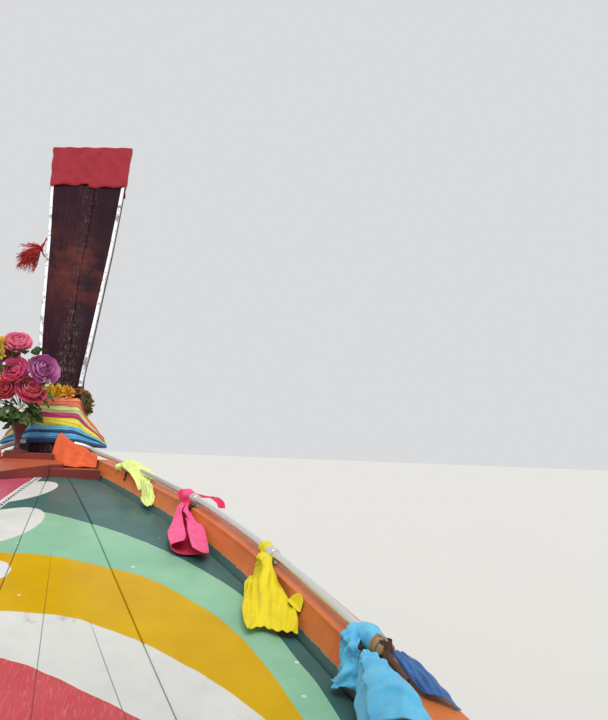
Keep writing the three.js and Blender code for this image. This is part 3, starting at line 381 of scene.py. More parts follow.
def timber(name, dark, light, gloss, along, grey=0.0):
    """Sawn hardwood under oil or old varnish: long streaks of grain, pores, and worn grey patches."""
    made, tree, shader = coat_of(name, Roughness=gloss, IOR=1.5)
    place = add(tree, "TexCoord", out="Object")
    grain = add(tree, "TexNoise", add(tree, "Mapping", place, Scale=along), Scale=9.0, Detail=9.0,
                Roughness=0.65, Distortion=0.6)
    pores = add(tree, "TexNoise", add(tree, "Mapping", place, Scale=tuple(6 * v for v in along)), Scale=30.0,
                Detail=3.0)
    patch = add(tree, "TexNoise", add(tree, "TexCoord", out="Object"), Scale=1 / 0.3, Detail=5.0)
    wood = add(tree, "ValToRGB", grain, stops=[(0.3, dark), (0.72, light)])
    wood = add(tree, "Mix", add(tree, "MapRange", patch, 0.5, 0.8, 0.0, grey), wood, "#8d8177")
    wood = add(tree, "Mix", add(tree, "MapRange", pores, 0.6, 0.75, 0.0, 0.4), wood, dark)
    put(tree, shader["Base Color"], wood)
    put(tree, shader["Roughness"], add(tree, "MapRange", patch, 0.3, 0.75, gloss - 0.12, gloss + 0.25))
    put(tree, shader["Normal"], add(tree, "Bump", 0.35, 0.0015, Height=add(tree, "ADD", grain, pores)))
    return made


def woven(name, face, deep, thread=0.0012, sheen=0.25, soft=0.006, rough=0.9):
    """Plain-woven dyed cloth: crossing threads, drawn twice as coarse as real ones so that they show, and
    slow creases, along which deep, the cloth's colour in shade, is mixed in as painted shade."""
    made, tree, shader = coat_of(name, Roughness=rough, IOR=1.45, Sheen_Weight=sheen, Sheen_Roughness=0.5)
    place = add(tree, "TexCoord", out="Object")
    warp = add(tree, "TexWave", place, Scale=1 / (3.2 * thread), Distortion=0.4, bands_direction="X")
    weft = add(tree, "TexWave", place, Scale=1 / (3.2 * thread), Distortion=0.4, bands_direction="Z")
    crease_with_shade = add(tree, "TexNoise", place, Scale=1 / (6 * soft), Detail=4.0, Roughness=0.6)
    # Painted shade: along the slow creases the colour turns towards deep, the cloth's colour in shade
    tone = add(tree, "Mix", add(tree, "MapRange", crease_with_shade, 0.35, 0.75, 0.0, 0.75), face, deep)
    put(tree, shader["Base Color"], tone)
    height = add(tree, "MULTIPLY", add(tree, "ADD", warp, weft), 0.12)
    height = add(tree, "ADD", height, add(tree, "MULTIPLY", crease_with_shade, 3.0))
    put(tree, shader["Normal"], add(tree, "Bump", 0.5, soft * 0.4, Height=height))
    return made


def metal(name, face, rough=0.3, spots=None, grain=0.004, shine=1.0):
    """Metal: fine unevenness in its gloss, and stains or rust in patches where spots gives their colour."""
    made, tree, shader = coat_of(name, Base_Color=face, Metallic=shine, Roughness=rough)
    place = add(tree, "TexCoord", out="Object")
    cloud = add(tree, "TexNoise", place, Scale=1 / (12 * grain), Detail=6.0, Roughness=0.7)
    fine = add(tree, "TexNoise", place, Scale=1 / grain, Detail=3.0)
    put(tree, shader["Roughness"], add(tree, "MapRange", cloud, 0.3, 0.7, rough * 0.7, rough * 1.5))
    if spots:
        stain = add(tree, "MapRange", cloud, 0.52, 0.66, 0.0, 1.0)
        put(tree, shader["Base Color"], add(tree, "Mix", stain, face, spots))
        put(tree, shader["Metallic"], add(tree, "MapRange", stain, 0.0, 1.0, shine, 0.0))
        put(tree, shader["Roughness"], add(tree, "MapRange", stain, 0.0, 1.0, rough, 0.85))
    put(tree, shader["Normal"], add(tree, "Bump", 0.2, grain * 0.2, Height=fine))
    return made


# The hull's surface, with the same table and curves as its CAD planking. Columns: sheer x, sheer z, half
# beam, keel x, keel z, half foot, vee. A station leans from its keel point to its sheer point.
HULL = np.array([
    [-5900, 775, 560, -5700, 40, 42, 250], [-5000, 655, 745, -4950, -95, 42, 200],
    [-4200, 572, 875, -4200, -185, 42, 150], [-3000, 500, 985, -3000, -275, 42, 80],
    [-1800, 462, 1030, -1800, -330, 42, 30], [-600, 450, 1045, -600, -345, 42, 0],
    [600, 470, 1035, 600, -345, 42, 50], [1800, 560, 985, 1800, -330, 42, 200],
    [2500, 663, 905, 2440, -270, 42, 350], [3000, 748, 805, 2860, -205, 44, 500],
    [3500, 833, 660, 3260, -120, 48, 650], [4000, 903, 470, 3650, -5, 52, 800],
    [4400, 950, 315, 3960, 125, 58, 900], [4700, 978, 205, 4230, 265, 60, 950],
    [4900, 998, 125, 4450, 410, 60, 1000], [5020, 1008, 66, 4610, 545, 60, 1000]]) / 1000
LAST = len(HULL) - 1
PLANK = 0.028
TOP_ROW = 0.85
INWALE = 0.0289
INNER_FACE = INWALE + 0.024
CAP_RISE = 0.018
DECK_DROP = 0.053
BEAM_TOP = 0.937
DECK_AFT, DECK_FORE = 2.2, 4.3


def station(s):
    """Each column at s is a cubic between its rows, with the slope at a row taken from its two neighbours."""
    i = np.clip(np.floor(s).astype(int), 0, LAST - 1)
    rows = np.arange(LAST + 1)
    low, high = np.clip(rows - 1, 0, None), np.clip(rows + 1, None, LAST)
    slope = (HULL[high] - HULL[low]) / (HULL[high, 0] - HULL[low, 0])[:, None]
    t = (s - i)[..., None]
    h = (HULL[i + 1, 0] - HULL[i, 0])[..., None]
    return ((2 * t**3 - 3 * t**2 + 1) * HULL[i] + (t**3 - 2 * t**2 + t) * h * slope[i]
            + (3 * t**2 - 2 * t**3) * HULL[i + 1] + (t**3 - t**2) * h * slope[i + 1])


def outside(s, t):
    """A half section is a parabola from the planks' lower edge (t = 0) to the sheer (t = 1), its corner moved
    in by vee."""
    s, t = np.broadcast_arrays(np.asarray(s, float), np.asarray(t, float))
    sheer_x, sheer_z, beam, keel_x, keel_z, foot, vee = np.moveaxis(station(s), -1, 0)
    across = 2 * t * (1 - t) * (0.88 - 0.38 * vee) + t * t
    up = 2 * t * (1 - t) * (0.12 + 0.30 * vee) + t * t
    return np.stack([keel_x + (sheer_x - keel_x) * up, foot + (beam - foot) * across,
                     keel_z + (sheer_z - keel_z) * up], -1)


def inside(s, t, depth=PLANK):
    """The outside moved in along its normal; the top edge is slid along the plank so that it stays level."""
    s, t = np.broadcast_arrays(np.asarray(s, float), np.asarray(t, float))
    e = 1e-3
    along = outside(np.minimum(s + e, LAST), t) - outside(np.maximum(s - e, 0), t)
    girth = outside(s, np.minimum(t + e, 1)) - outside(s, np.maximum(t - e, 0))
    normal = np.cross(along, girth)
    normal /= np.linalg.norm(normal, axis=-1, keepdims=True)
    normal = np.where(normal[..., 1:2] > 0, -normal, normal)
    p = outside(s, t)
    q = p + np.asarray(depth)[..., None] * normal
    run = p - outside(s, TOP_ROW)
    top = t >= 1
    slide = (q[..., 2] - p[..., 2]) / np.where(top, run[..., 2], 1)
    return np.where(top[..., None], q - slide[..., None] * run, q)


def beside_top(s, depth, drop):
    """A point beside the planking's top: depth in from its outer face, and drop down along it or straight
    up."""
    top = inside(s, 1.0, depth)
    if drop <= 0:
        return top + [0, 0, -drop]
    low = inside(s, TOP_ROW, depth)
    return top + (low - top) * (drop / (top[..., 2] - low[..., 2]))[..., None]


FINE = np.linspace(0, LAST, 301)


def sheer(x):
    """Half beam and height of the planking's top edge at x, read off its own curve."""
    edge = outside(FINE, 1.0)
    return np.interp(x, edge[:, 0], edge[:, 1]), np.interp(x, edge[:, 0], edge[:, 2])


def deck_half(x, drop=DECK_DROP):
    """Half breadth between the inner boards at x, a drop below the sheer."""
    edge = beside_top(FINE, INWALE + 0.0246, drop)
    return np.interp(x, edge[:, 0], edge[:, 1])


def cap_inner(x):
    """Where the gunwale cap's inner edge is at x: its y and z."""
    edge = beside_top(FINE, INNER_FACE, -CAP_RISE)
    return np.interp(x, edge[:, 0], edge[:, 1]), np.interp(x, edge[:, 0], edge[:, 2])


def deck_z(x, y):
    """The foredeck's top: a parabola across, 12 mm higher in the middle than at its sides."""
    return sheer(x)[1] - DECK_DROP + 0.012 * np.maximum(0, 1 - (y / deck_half(x)) ** 2)


def keel_z(x):
    """Height of the planking's lower edge at x."""
    edge = outside(FINE, 0.0)
    return np.interp(x, edge[:, 0], edge[:, 2])


def planks():
    """Nine planks a side. Each is a ring of points round its section, carried along the stations; its outer
    edges fall back 2 mm in a 5 mm band, which leaves a seam between two planks. The UV is the station, with
    20 added on the inner face, and the girth."""
    edges = [0, 0.12, 0.24, 0.36, 0.47, 0.57, 0.67, 0.77, 0.88, 1]
    s = FINE[::2][:, None]
    shapes = []
    for low, high in zip(edges, edges[1:]):
        soft = 0.0045
        t = np.array([low, low + soft, low + 0.3 * (high - low), low + 0.65 * (high - low), high - soft,
                      high])
        recess = np.array([0.0025, 0, 0, 0, 0, 0.0025 if high < 1 else 0])
        face = inside(s, t,
                      recess) if high < 1 else np.concatenate([inside(s, t[:-1], recess[:-1]),
                              outside(s, t[-1:])], 1)
        back = inside(s, t[::-1], np.full(6, PLANK))
        uv = np.stack(np.broadcast_arrays(s + np.repeat([0, 20], 6), np.concatenate([t, t[::-1]])[None]), -1)
        shapes.append(shell(np.concatenate([face, back], 1), around=True, ends=True, uv=uv))
    return shapes


def gunwale():
    """The board inside the planking, the rubbing strake outside it and the cap over both, in one section
    along the sheer. Its UV runs along the sheer and down from the top in metres."""
    s = FINE[outside(FINE, 1.0)[:, 0] < 4.5145]
    spots = [(-0.022, -CAP_RISE), (-0.022, 0.0), (-0.022, 0.055), (-0.0009, 0.055), (-0.0009, -0.0004),
             (INWALE, -0.0004),
             (INWALE, 0.076), (INNER_FACE, 0.076), (INNER_FACE, 0.038), (INNER_FACE, 0.0),
             (INNER_FACE, -CAP_RISE)]
    grid = np.stack([beside_top(s, depth, drop) for depth, drop in spots], 1)
    uv = np.stack(np.broadcast_arrays(grid[:, :1, 0], np.array([drop for _, drop in spots])[None]), -1)
    return [shell(grid, around=True, ends=True, uv=uv)]



def deck_boards():
    """Five boards over the camber, which tops out at the middle; their edges at the seams fall 1.5 mm in 3
    mm."""
    x = np.linspace(DECK_AFT, DECK_FORE, 108)[:, None]
    t = (x - DECK_AFT) / (DECK_FORE - DECK_AFT)
    king = 0.130 + (0.029 - 0.130) * t
    inner = 0.530 + (0.117 - 0.530) * t
    outer = np.minimum(deck_half(x), deck_half(x, 0.076)) - 0.0003
    shapes = []
    for low, high in ((-outer, -inner), (-inner, -king), (-king, king), (king, inner), (inner, outer)):
        share = np.array([0, 0, 0.25, 0.5, 0.75, 1, 1])
        nudge = np.array([0.0012, 0.0045, 0, 0, 0, -0.0045, -0.0012])
        y = low + (high - low) * share + nudge
        drop = np.array([0.0022, 0, 0, 0, 0, 0, 0.0022])
        z = deck_z(x, y) - drop
        top = np.stack(np.broadcast_arrays(x, y, z), -1)
        shapes.append(shell(np.concatenate([top, top[:, ::-1] - [0, 0, 0.0228]], 1), around=True, ends=True))
    return shapes


EDGES = {  # paint edges on the foredeck: distance from the middle, then x
    "red": [(0, 2.69), (0.161, 2.636), (0.211, 2.607), (0.273, 2.554), (0.357, 2.477), (0.428, 2.406),
            (0.52, 2.29), (0.6, 2.15), (0.95, 2.0)],
    "white": [(0, 2.857), (0.118, 2.845), (0.22, 2.824), (0.288, 2.798), (0.358, 2.744), (0.436, 2.677),
              (0.512, 2.59), (0.579, 2.502),
              (0.623, 2.428), (0.68, 2.31), (0.74, 2.14), (0.95, 2.0)],
    "yellow": [(0, 3.235), (0.041, 3.227), (0.199, 3.189), (0.341, 3.112), (0.414, 3.065), (0.48, 3.002),
               (0.556, 2.892), (0.617, 2.787),
               (0.664, 2.653), (0.695, 2.513), (0.712, 2.397), (0.76, 2.15), (0.95, 2.0)],
    "mint": [(0, 3.70), (0.021, 3.687), (0.079, 3.658), (0.151, 3.612), (0.241, 3.537), (0.367, 3.421),
             (0.527, 3.227), (0.625, 3.067),
             (0.699, 2.907), (0.739, 2.721), (0.761, 2.576), (0.775, 2.50), (0.783, 2.374), (0.80, 2.2),
             (0.95, 2.0)],
}


def deck_paint():
    """Old gloss enamel brushed over boards in curved bands, with white petals at the fore end: each edge is a
    curve of x against the distance from the middle, and walking has scuffed it grey, most on the white."""
    made, tree, shader = coat_of("foredeck_enamel", Roughness=0.34, IOR=1.5, Specular_IOR_Level=0.07)
    place = add(tree, "TexCoord", out="Object")
    wobble = add(tree, "TexNoise", place, Scale=1 / 0.05, Detail=3.0)
    x, y, _ = (add(tree, "SeparateXYZ", place, out=axis) for axis in "XYZ")
    x = add(tree, "ADD", x, add(tree, "MapRange", wobble, 0.0, 1.0, -0.006, 0.006))
    off = add(tree, "ABSOLUTE", y)

    def before(stops):
        bend = add(tree, "FloatCurve", 1.0, off, stops=[(a, (b - 2) / 2.5) for a, b in stops])
        edge = add(tree, "MapRange", bend, 0.0, 1.0, 2.0, 4.5)
        gap = add(tree, "SUBTRACT", edge, x)
        return add(tree, "MapRange", gap, -0.0006, 0.0006, 0.0, 1.0)

    def petal(centre, half, turn):
        flat = add(tree, "Mapping", place, Location=(*centre, 0), Rotation=(0, 0, math.radians(turn)),
                   Scale=(*half, 1e4), vector_type="TEXTURE")
        reach = add(tree, "VectorMath", flat, operation="LENGTH", out="Value")
        return add(tree, "MapRange", reach, 0.99, 1.01, 1.0, 0.0)

    def spear(grow):
        """Half width of the pointed field between the petals, which widens from its tip forward."""
        side = add(tree, "ABSOLUTE", add(tree, "SUBTRACT", y, 0.11))
        wide = add(tree, "MapRange", x, 3.40, 4.25, -0.004 + grow, 0.081 + grow)
        return add(tree, "MapRange", add(tree, "SUBTRACT", wide, side), -0.0006, 0.0006, 0.0, 1.0)

    tone = add(tree, "TexNoise", place, Scale=1 / 0.16, Detail=4.0, Roughness=0.6)
    brush = add(tree, "TexNoise", add(tree, "Mapping", place, Scale=(2, 40, 40)), Scale=5.0, Detail=6.0,
                Roughness=0.6)
    scuff = add(tree, "TexNoise", add(tree, "Mapping", place, Rotation=(0, 0, 0.7), Scale=(1, 2.2, 1)),
                Scale=1 / 0.09, Detail=9.0,
                Roughness=0.75, Distortion=0.8)
    wide = add(tree, "TexNoise", place, Scale=1 / 0.35, Detail=2.0)

    def varied(shade, deep):
        return add(tree, "Mix", add(tree, "MapRange", tone, 0.35, 0.7, 0.0, 1.0), shade, deep)

    paint = varied("#47706b", "#3a5f60")
    paint = add(tree, "Mix", before(EDGES["mint"]), paint, varied("#93c5a4", "#86b99a"))
    for centre, half, turn in (((3.06, 0.0), (0.10, 0.09), -10), ((3.50, 0.0), (0.21, 0.105), -12),
                               ((3.975, 0.03), (0.225, 0.10), -22)):
        for flip in (1, -1):
            middle = (centre[0], 0.11 + flip * (centre[1] - 0.11))
            if flip > 0 or centre[0] > 3.2:
                paint = add(tree, "Mix", petal(middle, half, flip * turn), paint,
                            varied("#e2e2dc", "#d2d3ce"))
    dots = add(tree, "MapRange", add(tree, "SINE", add(tree, "MULTIPLY", x, TAU / 0.034)), 0.0, 0.3, 0.0,
               1.0)
    band = add(tree, "Mix", dots, "#dcdcd8", "#34403f")
    paint = add(tree, "Mix", spear(0.034), paint, "#dcdcd8")
    paint = add(tree, "Mix", spear(0.027), paint, band)
    paint = add(tree, "Mix", spear(0.012), paint, "#e4e4e0")
    paint = add(tree, "Mix", spear(0.0), paint, varied("#c65a70", "#b84e66"))
    paint = add(tree, "Mix", before(EDGES["yellow"]), paint, varied("#d6aa00", "#cc9e00"))
    spot = petal((3.085, -0.02), (0.085, 0.075), 0)
    paint = add(tree, "Mix", spot, paint, "#dedede")
    white = add(tree, "MULTIPLY", before(EDGES["white"]), add(tree, "SUBTRACT", 1.0, before(EDGES["red"])))
    paint = add(tree, "Mix", before(EDGES["white"]), paint, varied("#deded8", "#cfd0cb"))
    grime = add(tree, "MapRange", add(tree, "MULTIPLY", scuff, wide), 0.30, 0.42, 0.0, 0.75)
    paint = add(tree, "Mix", add(tree, "MULTIPLY", grime, white), paint, "#8f9088")
    streaks = add(tree, "MapRange", brush, 0.52, 0.68, 0.0, 0.45)
    red = add(tree, "Mix", streaks, varied("#cc565a", "#c24a50"), "#e08890")
    paint = add(tree, "Mix", before(EDGES["red"]), paint, red)
    specks = add(tree, "TexVoronoi", place, Scale=1 / 0.045, Randomness=1.0)
    chance = add(tree, "MapRange", wide, 0.5, 0.6, 0.0, 0.13)
    fleck = add(tree, "LESS_THAN", specks, chance)
    paint = add(tree, "Mix", add(tree, "MULTIPLY", fleck, 0.75), paint, "#dfe8dc")
    cracks = 0.0
    for start, end in (((2.80, -0.315), (2.2, -0.452)), ((2.80, 0.315), (2.2, 0.452)),
                       ((3.22, -0.18), (2.2, -0.27))):
        run = np.subtract(end, start)
        angle = math.atan2(run[1], run[0])
        half = (np.linalg.norm(run) / 2, 0.0011)
        middle = np.add(start, end) / 2
        mark = petal(tuple(middle), half, math.degrees(angle))
        cracks = add(tree, "MAXIMUM", cracks, mark)
    paint = add(tree, "Mix", add(tree, "MULTIPLY", cracks, 0.6), paint, "#3a3a34")
    put(tree, shader["Base Color"], paint)
    put(tree, shader["Roughness"],
        add(tree, "MapRange", add(tree, "MULTIPLY", scuff, white), 0.0, 0.7, 0.26, 0.5))
    relief = add(tree, "SUBTRACT", brush, add(tree, "MULTIPLY", cracks, 2.0))
    put(tree, shader["Normal"], add(tree, "Bump", 0.22, 0.0015, Height=relief))
    return made


def hull_planking():
    """Hardwood planks: varnished brown above the waterline, dull red-brown bottom paint below it, and a
    painted top strake with a white line. The inner face is bare oiled wood. The UV's v is the girth from keel
    to sheer."""
    made, tree, shader = coat_of("hull_planking", Roughness=0.45, IOR=1.5)
    place = add(tree, "TexCoord", out="Object")
    flat = add(tree, "TexCoord", out="UV")
    girth = add(tree, "SeparateXYZ", flat, out="Y")
    within = add(tree, "MapRange", add(tree, "SeparateXYZ", flat, out="X"), 17.0, 18.0, 0.0, 1.0)
    height = add(tree, "SeparateXYZ", place, out="Z")
    grain = add(tree, "TexNoise", add(tree, "Mapping", place, Scale=(0.5, 7, 12)), Scale=7.0, Detail=9.0,
                Roughness=0.65, Distortion=0.5)
    patch = add(tree, "TexNoise", place, Scale=1 / 0.4, Detail=6.0, Roughness=0.65)
    wear = add(tree, "TexNoise", place, Scale=1 / 0.05, Detail=8.0, Roughness=0.72)
    wood = add(tree, "ValToRGB", grain, stops=[(0.3, "#3a211a"), (0.75, "#7d4a31")])
    wood = add(tree, "Mix", add(tree, "MapRange", patch, 0.5, 0.8, 0.0, 0.35), wood, "#8a6a50")

    def above(value, edge, width=0.0008):
        return add(tree, "MapRange", value, edge - width, edge + width, 0.0, 1.0)

    stain = add(tree, "HueSaturation", None, None, add(tree, "MapRange", patch, 0.3, 0.7, 0.8, 1.15), 1.0,
                "#2c7f76")
    face = add(tree, "Mix", above(girth, 0.88), wood, stain)
    face = add(tree, "Mix", above(girth, 0.885), face, "#e9e6da")
    face = add(tree, "Mix", above(girth, 0.897), face, stain)
    chipped = add(tree, "MULTIPLY", above(wear, 0.66, 0.01), above(girth, 0.88))
    face = add(tree, "Mix", chipped, face, "#6b4a38")
    bottom = add(tree, "Mix", add(tree, "MapRange", patch, 0.35, 0.7, 0.0, 1.0), "#7a3027", "#5c2620")
    wave = add(tree, "ADD", height, add(tree, "MapRange", wear, 0.0, 1.0, -0.004, 0.004))
    face = add(tree, "Mix", above(wave, 0.062), "#e3dfd2", face)
    face = add(tree, "Mix", above(wave, 0.045), bottom, face)
    slime = add(tree, "MapRange",
                add(tree, "ADD", wave, add(tree, "MapRange", patch, 0.3, 0.7, -0.05, 0.05)), -0.10, 0.02,
                0.7, 0.0)
    face = add(tree, "Mix", slime, face, "#3d4a35")
    face = add(tree, "Mix", within, face, wood)
    put(tree, shader["Base Color"], face)
    put(tree, shader["Roughness"], add(tree, "MapRange", height, -0.02, 0.05, 0.8, 0.42))
    put(tree, shader["Normal"], add(tree, "Bump", 0.3, 0.002, Height=add(tree, "ADD", grain, wear)))
    return made


def gunwale_enamel():
    """Orange enamel brushed thick on the gunwale in patches of two oranges, with pale scars and a lower edge
    where white undercoat shows above the deck's paint. The UV's v is the drop below the planking's top."""
    made, tree, shader = coat_of("gunwale_enamel", Roughness=0.36, IOR=1.5, Specular_IOR_Level=0.35)
    place = add(tree, "TexCoord", out="Object")
    drop = add(tree, "SeparateXYZ", add(tree, "TexCoord", out="UV"), out="Y")
    brush = add(tree, "TexNoise", add(tree, "Mapping", place, Scale=(2.5, 30, 45)), Scale=6.0, Detail=7.0,
                Roughness=0.65)
    patch = add(tree, "TexNoise", place, Scale=1 / 0.12, Detail=5.0, Roughness=0.65)
    chips = add(tree, "TexNoise", place, Scale=1 / 0.02, Detail=8.0, Roughness=0.75)
    face = add(tree, "Mix", add(tree, "MapRange", patch, 0.35, 0.68, 0.0, 1.0), "#e08044", "#d2703c")
    face = add(tree, "Mix", add(tree, "MapRange", brush, 0.55, 0.72, 0.0, 0.5), face, "#e8895a")
    scar = add(tree, "MULTIPLY", add(tree, "MapRange", chips, 0.66, 0.69, 0.0, 1.0),
               add(tree, "MapRange", patch, 0.52, 0.62, 0.0, 0.8))
    face = add(tree, "Mix", scar, face, "#e6cdb6")
    low = add(tree, "ADD", drop, add(tree, "MapRange", chips, 0.3, 0.7, -0.003, 0.003))
    face = add(tree, "Mix", add(tree, "MapRange", low, 0.0412, 0.0417, 0.0, 1.0), face, "#8a9a8c")
    face = add(tree, "Mix", add(tree, "MapRange", low, 0.0425, 0.043, 0.0, 1.0), face, "#47665f")
    put(tree, shader["Base Color"], face)
    put(tree, shader["Roughness"], add(tree, "MapRange", patch, 0.3, 0.7, 0.28, 0.5))
    put(tree, shader["Normal"], add(tree, "Bump", 0.3, 0.0015, Height=add(tree, "SUBTRACT", brush, scar)))
    return made


hull_paint = hull_planking()
orange_paint = gunwale_enamel()
deck_enamel = deck_paint()
for side, sign in SIDES.items():
    flip = mirrored if sign < 0 else (lambda shape: shape)
    piece(f"planks_{side}", [flip(s) for s in planks()], hull_paint, slot="hull_planks", angle=30,
          replaces=[f"strake_{part}_{side}" for part in ("bottom", "bilge", "topside")])
    piece(f"gunwale_fine_{side}", [flip(s) for s in gunwale()], orange_paint, slot="orange_paint",
          replaces=[f"gunwale_{side}"], bevel=0.004)
piece("foredeck_boards", deck_boards(), deck_enamel, slot="deck_paint", angle=30,
      replaces=["foredeck_king_plank"]
      + [f"foredeck_{run}_{side}" for run in ("inner", "outer") for side in SIDES])


# The prow board. Columns: z, aft face x, aft half width, middle x, middle half width, fore x, fore half width
PROW = np.array([
    [1022, 4530, 100, 4690, 190, 5045, 40], [1160, 4580, 104, 4740, 156, 5065, 38],
    [1350, 4650, 109, 4800, 112, 5075, 34],
    [1600, 4728, 132, 4850, 135, 5085, 30], [1900, 4855, 157, 4950, 162, 5140, 30],
    [2200, 4985, 181, 5070, 187, 5235, 32],
    [2640, 5120, 215, 5190, 221, 5330, 36], [2935, 5215, 233, 5280, 237, 5400, 40]]) / 1000
HEAD_SLANT = 0.17


def prow_at(z):
    """The table's columns at a height, each a cubic between its rows."""
    z = np.asarray(z, float)
    heights = PROW[:, 0]
    slope = np.gradient(PROW[:, 1:], heights, axis=0)
    i = np.clip(np.searchsorted(heights, z, side="right") - 1, 0, len(PROW) - 2)
    h = (heights[i + 1] - heights[i])[..., None]
    t = (z - heights[i])[..., None] / h
    return ((2 * t**3 - 3 * t**2 + 1) * PROW[i, 1:] + (t**3 - 2 * t**2 + t) * h * slope[i]
            + (3 * t**2 - 2 * t**3) * PROW[i + 1, 1:] + (t**3 - t**2) * h * slope[i + 1])


def slanted(points):
    """Towards the head, points slide down to port and up to starboard, because the head is cut aslant."""
    share = np.clip((points[..., 2] - 2.2) / 0.44, 0, 1)
    return points - np.stack([0 * share, 0 * share, HEAD_SLANT * share * points[..., 1]], -1)


def prow_ring(z, spread, count, rounding=3):
    """Rings round the board at heights z, set out by spread: its six corners joined by straight runs, evenly
    spaced from the middle of the aft face, then averaged a little along the ring, which rounds the
    corners."""
    z, spread = np.broadcast_arrays(np.asarray(z, float), np.asarray(spread, float))
    aft_x, aft, mid_x, mid, fore_x, fore = np.moveaxis(prow_at(z), -1, 0)
    x = np.stack([aft_x - spread, aft_x - spread, mid_x, fore_x + spread], -1)
    y = np.stack([0 * aft, aft + spread, mid + spread, fore + spread], -1)
    x, y = np.concatenate([x, x[..., :0:-1], x[..., :1]],
                          -1), np.concatenate([y, -y[..., :0:-1], y[..., :1]], -1)
    run = np.hypot(np.diff(x, axis=-1), np.diff(y, axis=-1))
    far = np.concatenate([0 * run[..., :1], np.cumsum(run, -1)], -1)
    share = np.arange(count) / count
    out = np.empty(z.shape + (count, 3))
    for spot in np.ndindex(z.shape):
        out[spot][:, 0] = np.interp(share * far[spot][-1], far[spot], x[spot])
        out[spot][:, 1] = np.interp(share * far[spot][-1], far[spot], y[spot])
        out[spot][:, 2] = z[spot]
    for _ in range(rounding):
        out = (np.roll(out, 1, -2) + 2 * out + np.roll(out, -1, -2)) / 4
    return out


def board():
    """The board's section up its height, with a groove down its aft face where its two planks meet, a sixth
    of the way to starboard. UV in metres: across the section, and up."""
    z = np.concatenate([np.linspace(1.022, 1.34, 10), np.linspace(1.36, 2.935, 60)])
    aft_x, aft, mid_x, mid, fore_x, fore = prow_at(z).T
    seam = -0.17 * aft + 0.006 * np.sin(7 * z)
    y = np.stack([aft, 0.5 * aft, seam + 0.005, seam + 0.001, seam - 0.001, seam - 0.005, -0.5 * aft, -aft,
                  -mid, -fore, fore, mid], -1)
    x = np.stack([aft_x, aft_x, aft_x, aft_x + 0.005, aft_x + 0.005, aft_x, aft_x, aft_x, mid_x, fore_x,
                  fore_x, mid_x], -1)
    root_z = sheer(np.minimum(x[:1], 5.019))[1] + 0.0052
    grid = np.stack([x, y, np.broadcast_to(z[:, None], x.shape)], -1)
    root = np.stack([x[0], y[0], root_z[0]], -1)[None]
    grid = slanted(np.concatenate([root, grid]))
    across = np.concatenate([y[:1], y])
    uv = np.stack([across + (np.arange(12) > 7) * 0.7, grid[..., 2]], -1)
    return [shell(grid, around=True, ends=True, uv=uv)]


def edge_strips():
    """Sheet metal folded over both aft corners, nailed every 105 mm in turn on one leg and the other."""
    z = np.linspace(1.35, 2.68, 50)
    aft_x, aft, mid_x, mid, _, _ = prow_at(z).T
    shapes = []
    for side in (1, -1):
        lean = np.stack([mid_x - aft_x, mid - aft], -1)
        lean /= np.linalg.norm(lean, axis=-1, keepdims=True)
        off = np.stack([-lean[:, 1], lean[:, 0]], -1)
        corner = np.stack([aft_x, aft], -1)
        spots = [corner + [0.001, -0.016], corner + [-0.0028, -0.016], corner + [-0.0028, -0.008],
                 corner + [-0.0028, 0.0],
                 corner + 0.7 * (off * 0.0028 + [-0.0028, 0]), corner + off * 0.0028,
                 corner + lean * 0.022 + off * 0.0028,
                 corner + lean * 0.022 - off * 0.001, corner + off * 0.0005]
        flat = np.stack(spots, 1)
        grid = np.stack([flat[..., 0], side * flat[..., 1], np.broadcast_to(z[:, None], flat.shape[:2])], -1)
        shapes.append(shell(slanted(grid), around=True, ends=True))
    return shapes


def strip_nails():
    """Round nail heads down both metal strips, in turn on the aft slope and on the edge."""
    dome = [(0.0, 0.0022), (0.0022, 0.0018), (0.0036, 0.0006), (0.0038, -0.001)]
    shapes = []
    for side in (1, -1):
        for k, z in enumerate(np.arange(1.42, 2.64, 0.105)):
            aft_x, aft, mid_x, mid, _, _ = prow_at(z)
            if k % 2:
                lean = np.array([mid_x - aft_x, mid - aft]) / math.hypot(mid_x - aft_x, mid - aft)
                axis = (-lean[1], side * lean[0], 0)
                spot = (np.array([aft_x + 0.013 * lean[0], side * (aft + 0.013 * lean[1]), z])
                        + np.multiply(axis, 0.0030))
            else:
                axis, spot = (-1, 0, 0), np.array([aft_x - 0.0030, side * (aft - 0.008), z])
            shapes.append(turned(dome[::-1], slanted(spot), axis, 8))
    return shapes


# The middle of the prow board's foot, x and y, and how thick the thin cloths are
PROW_FOOT = np.array([4.80, 0.0])
THIN_CLOTH = 0.0012


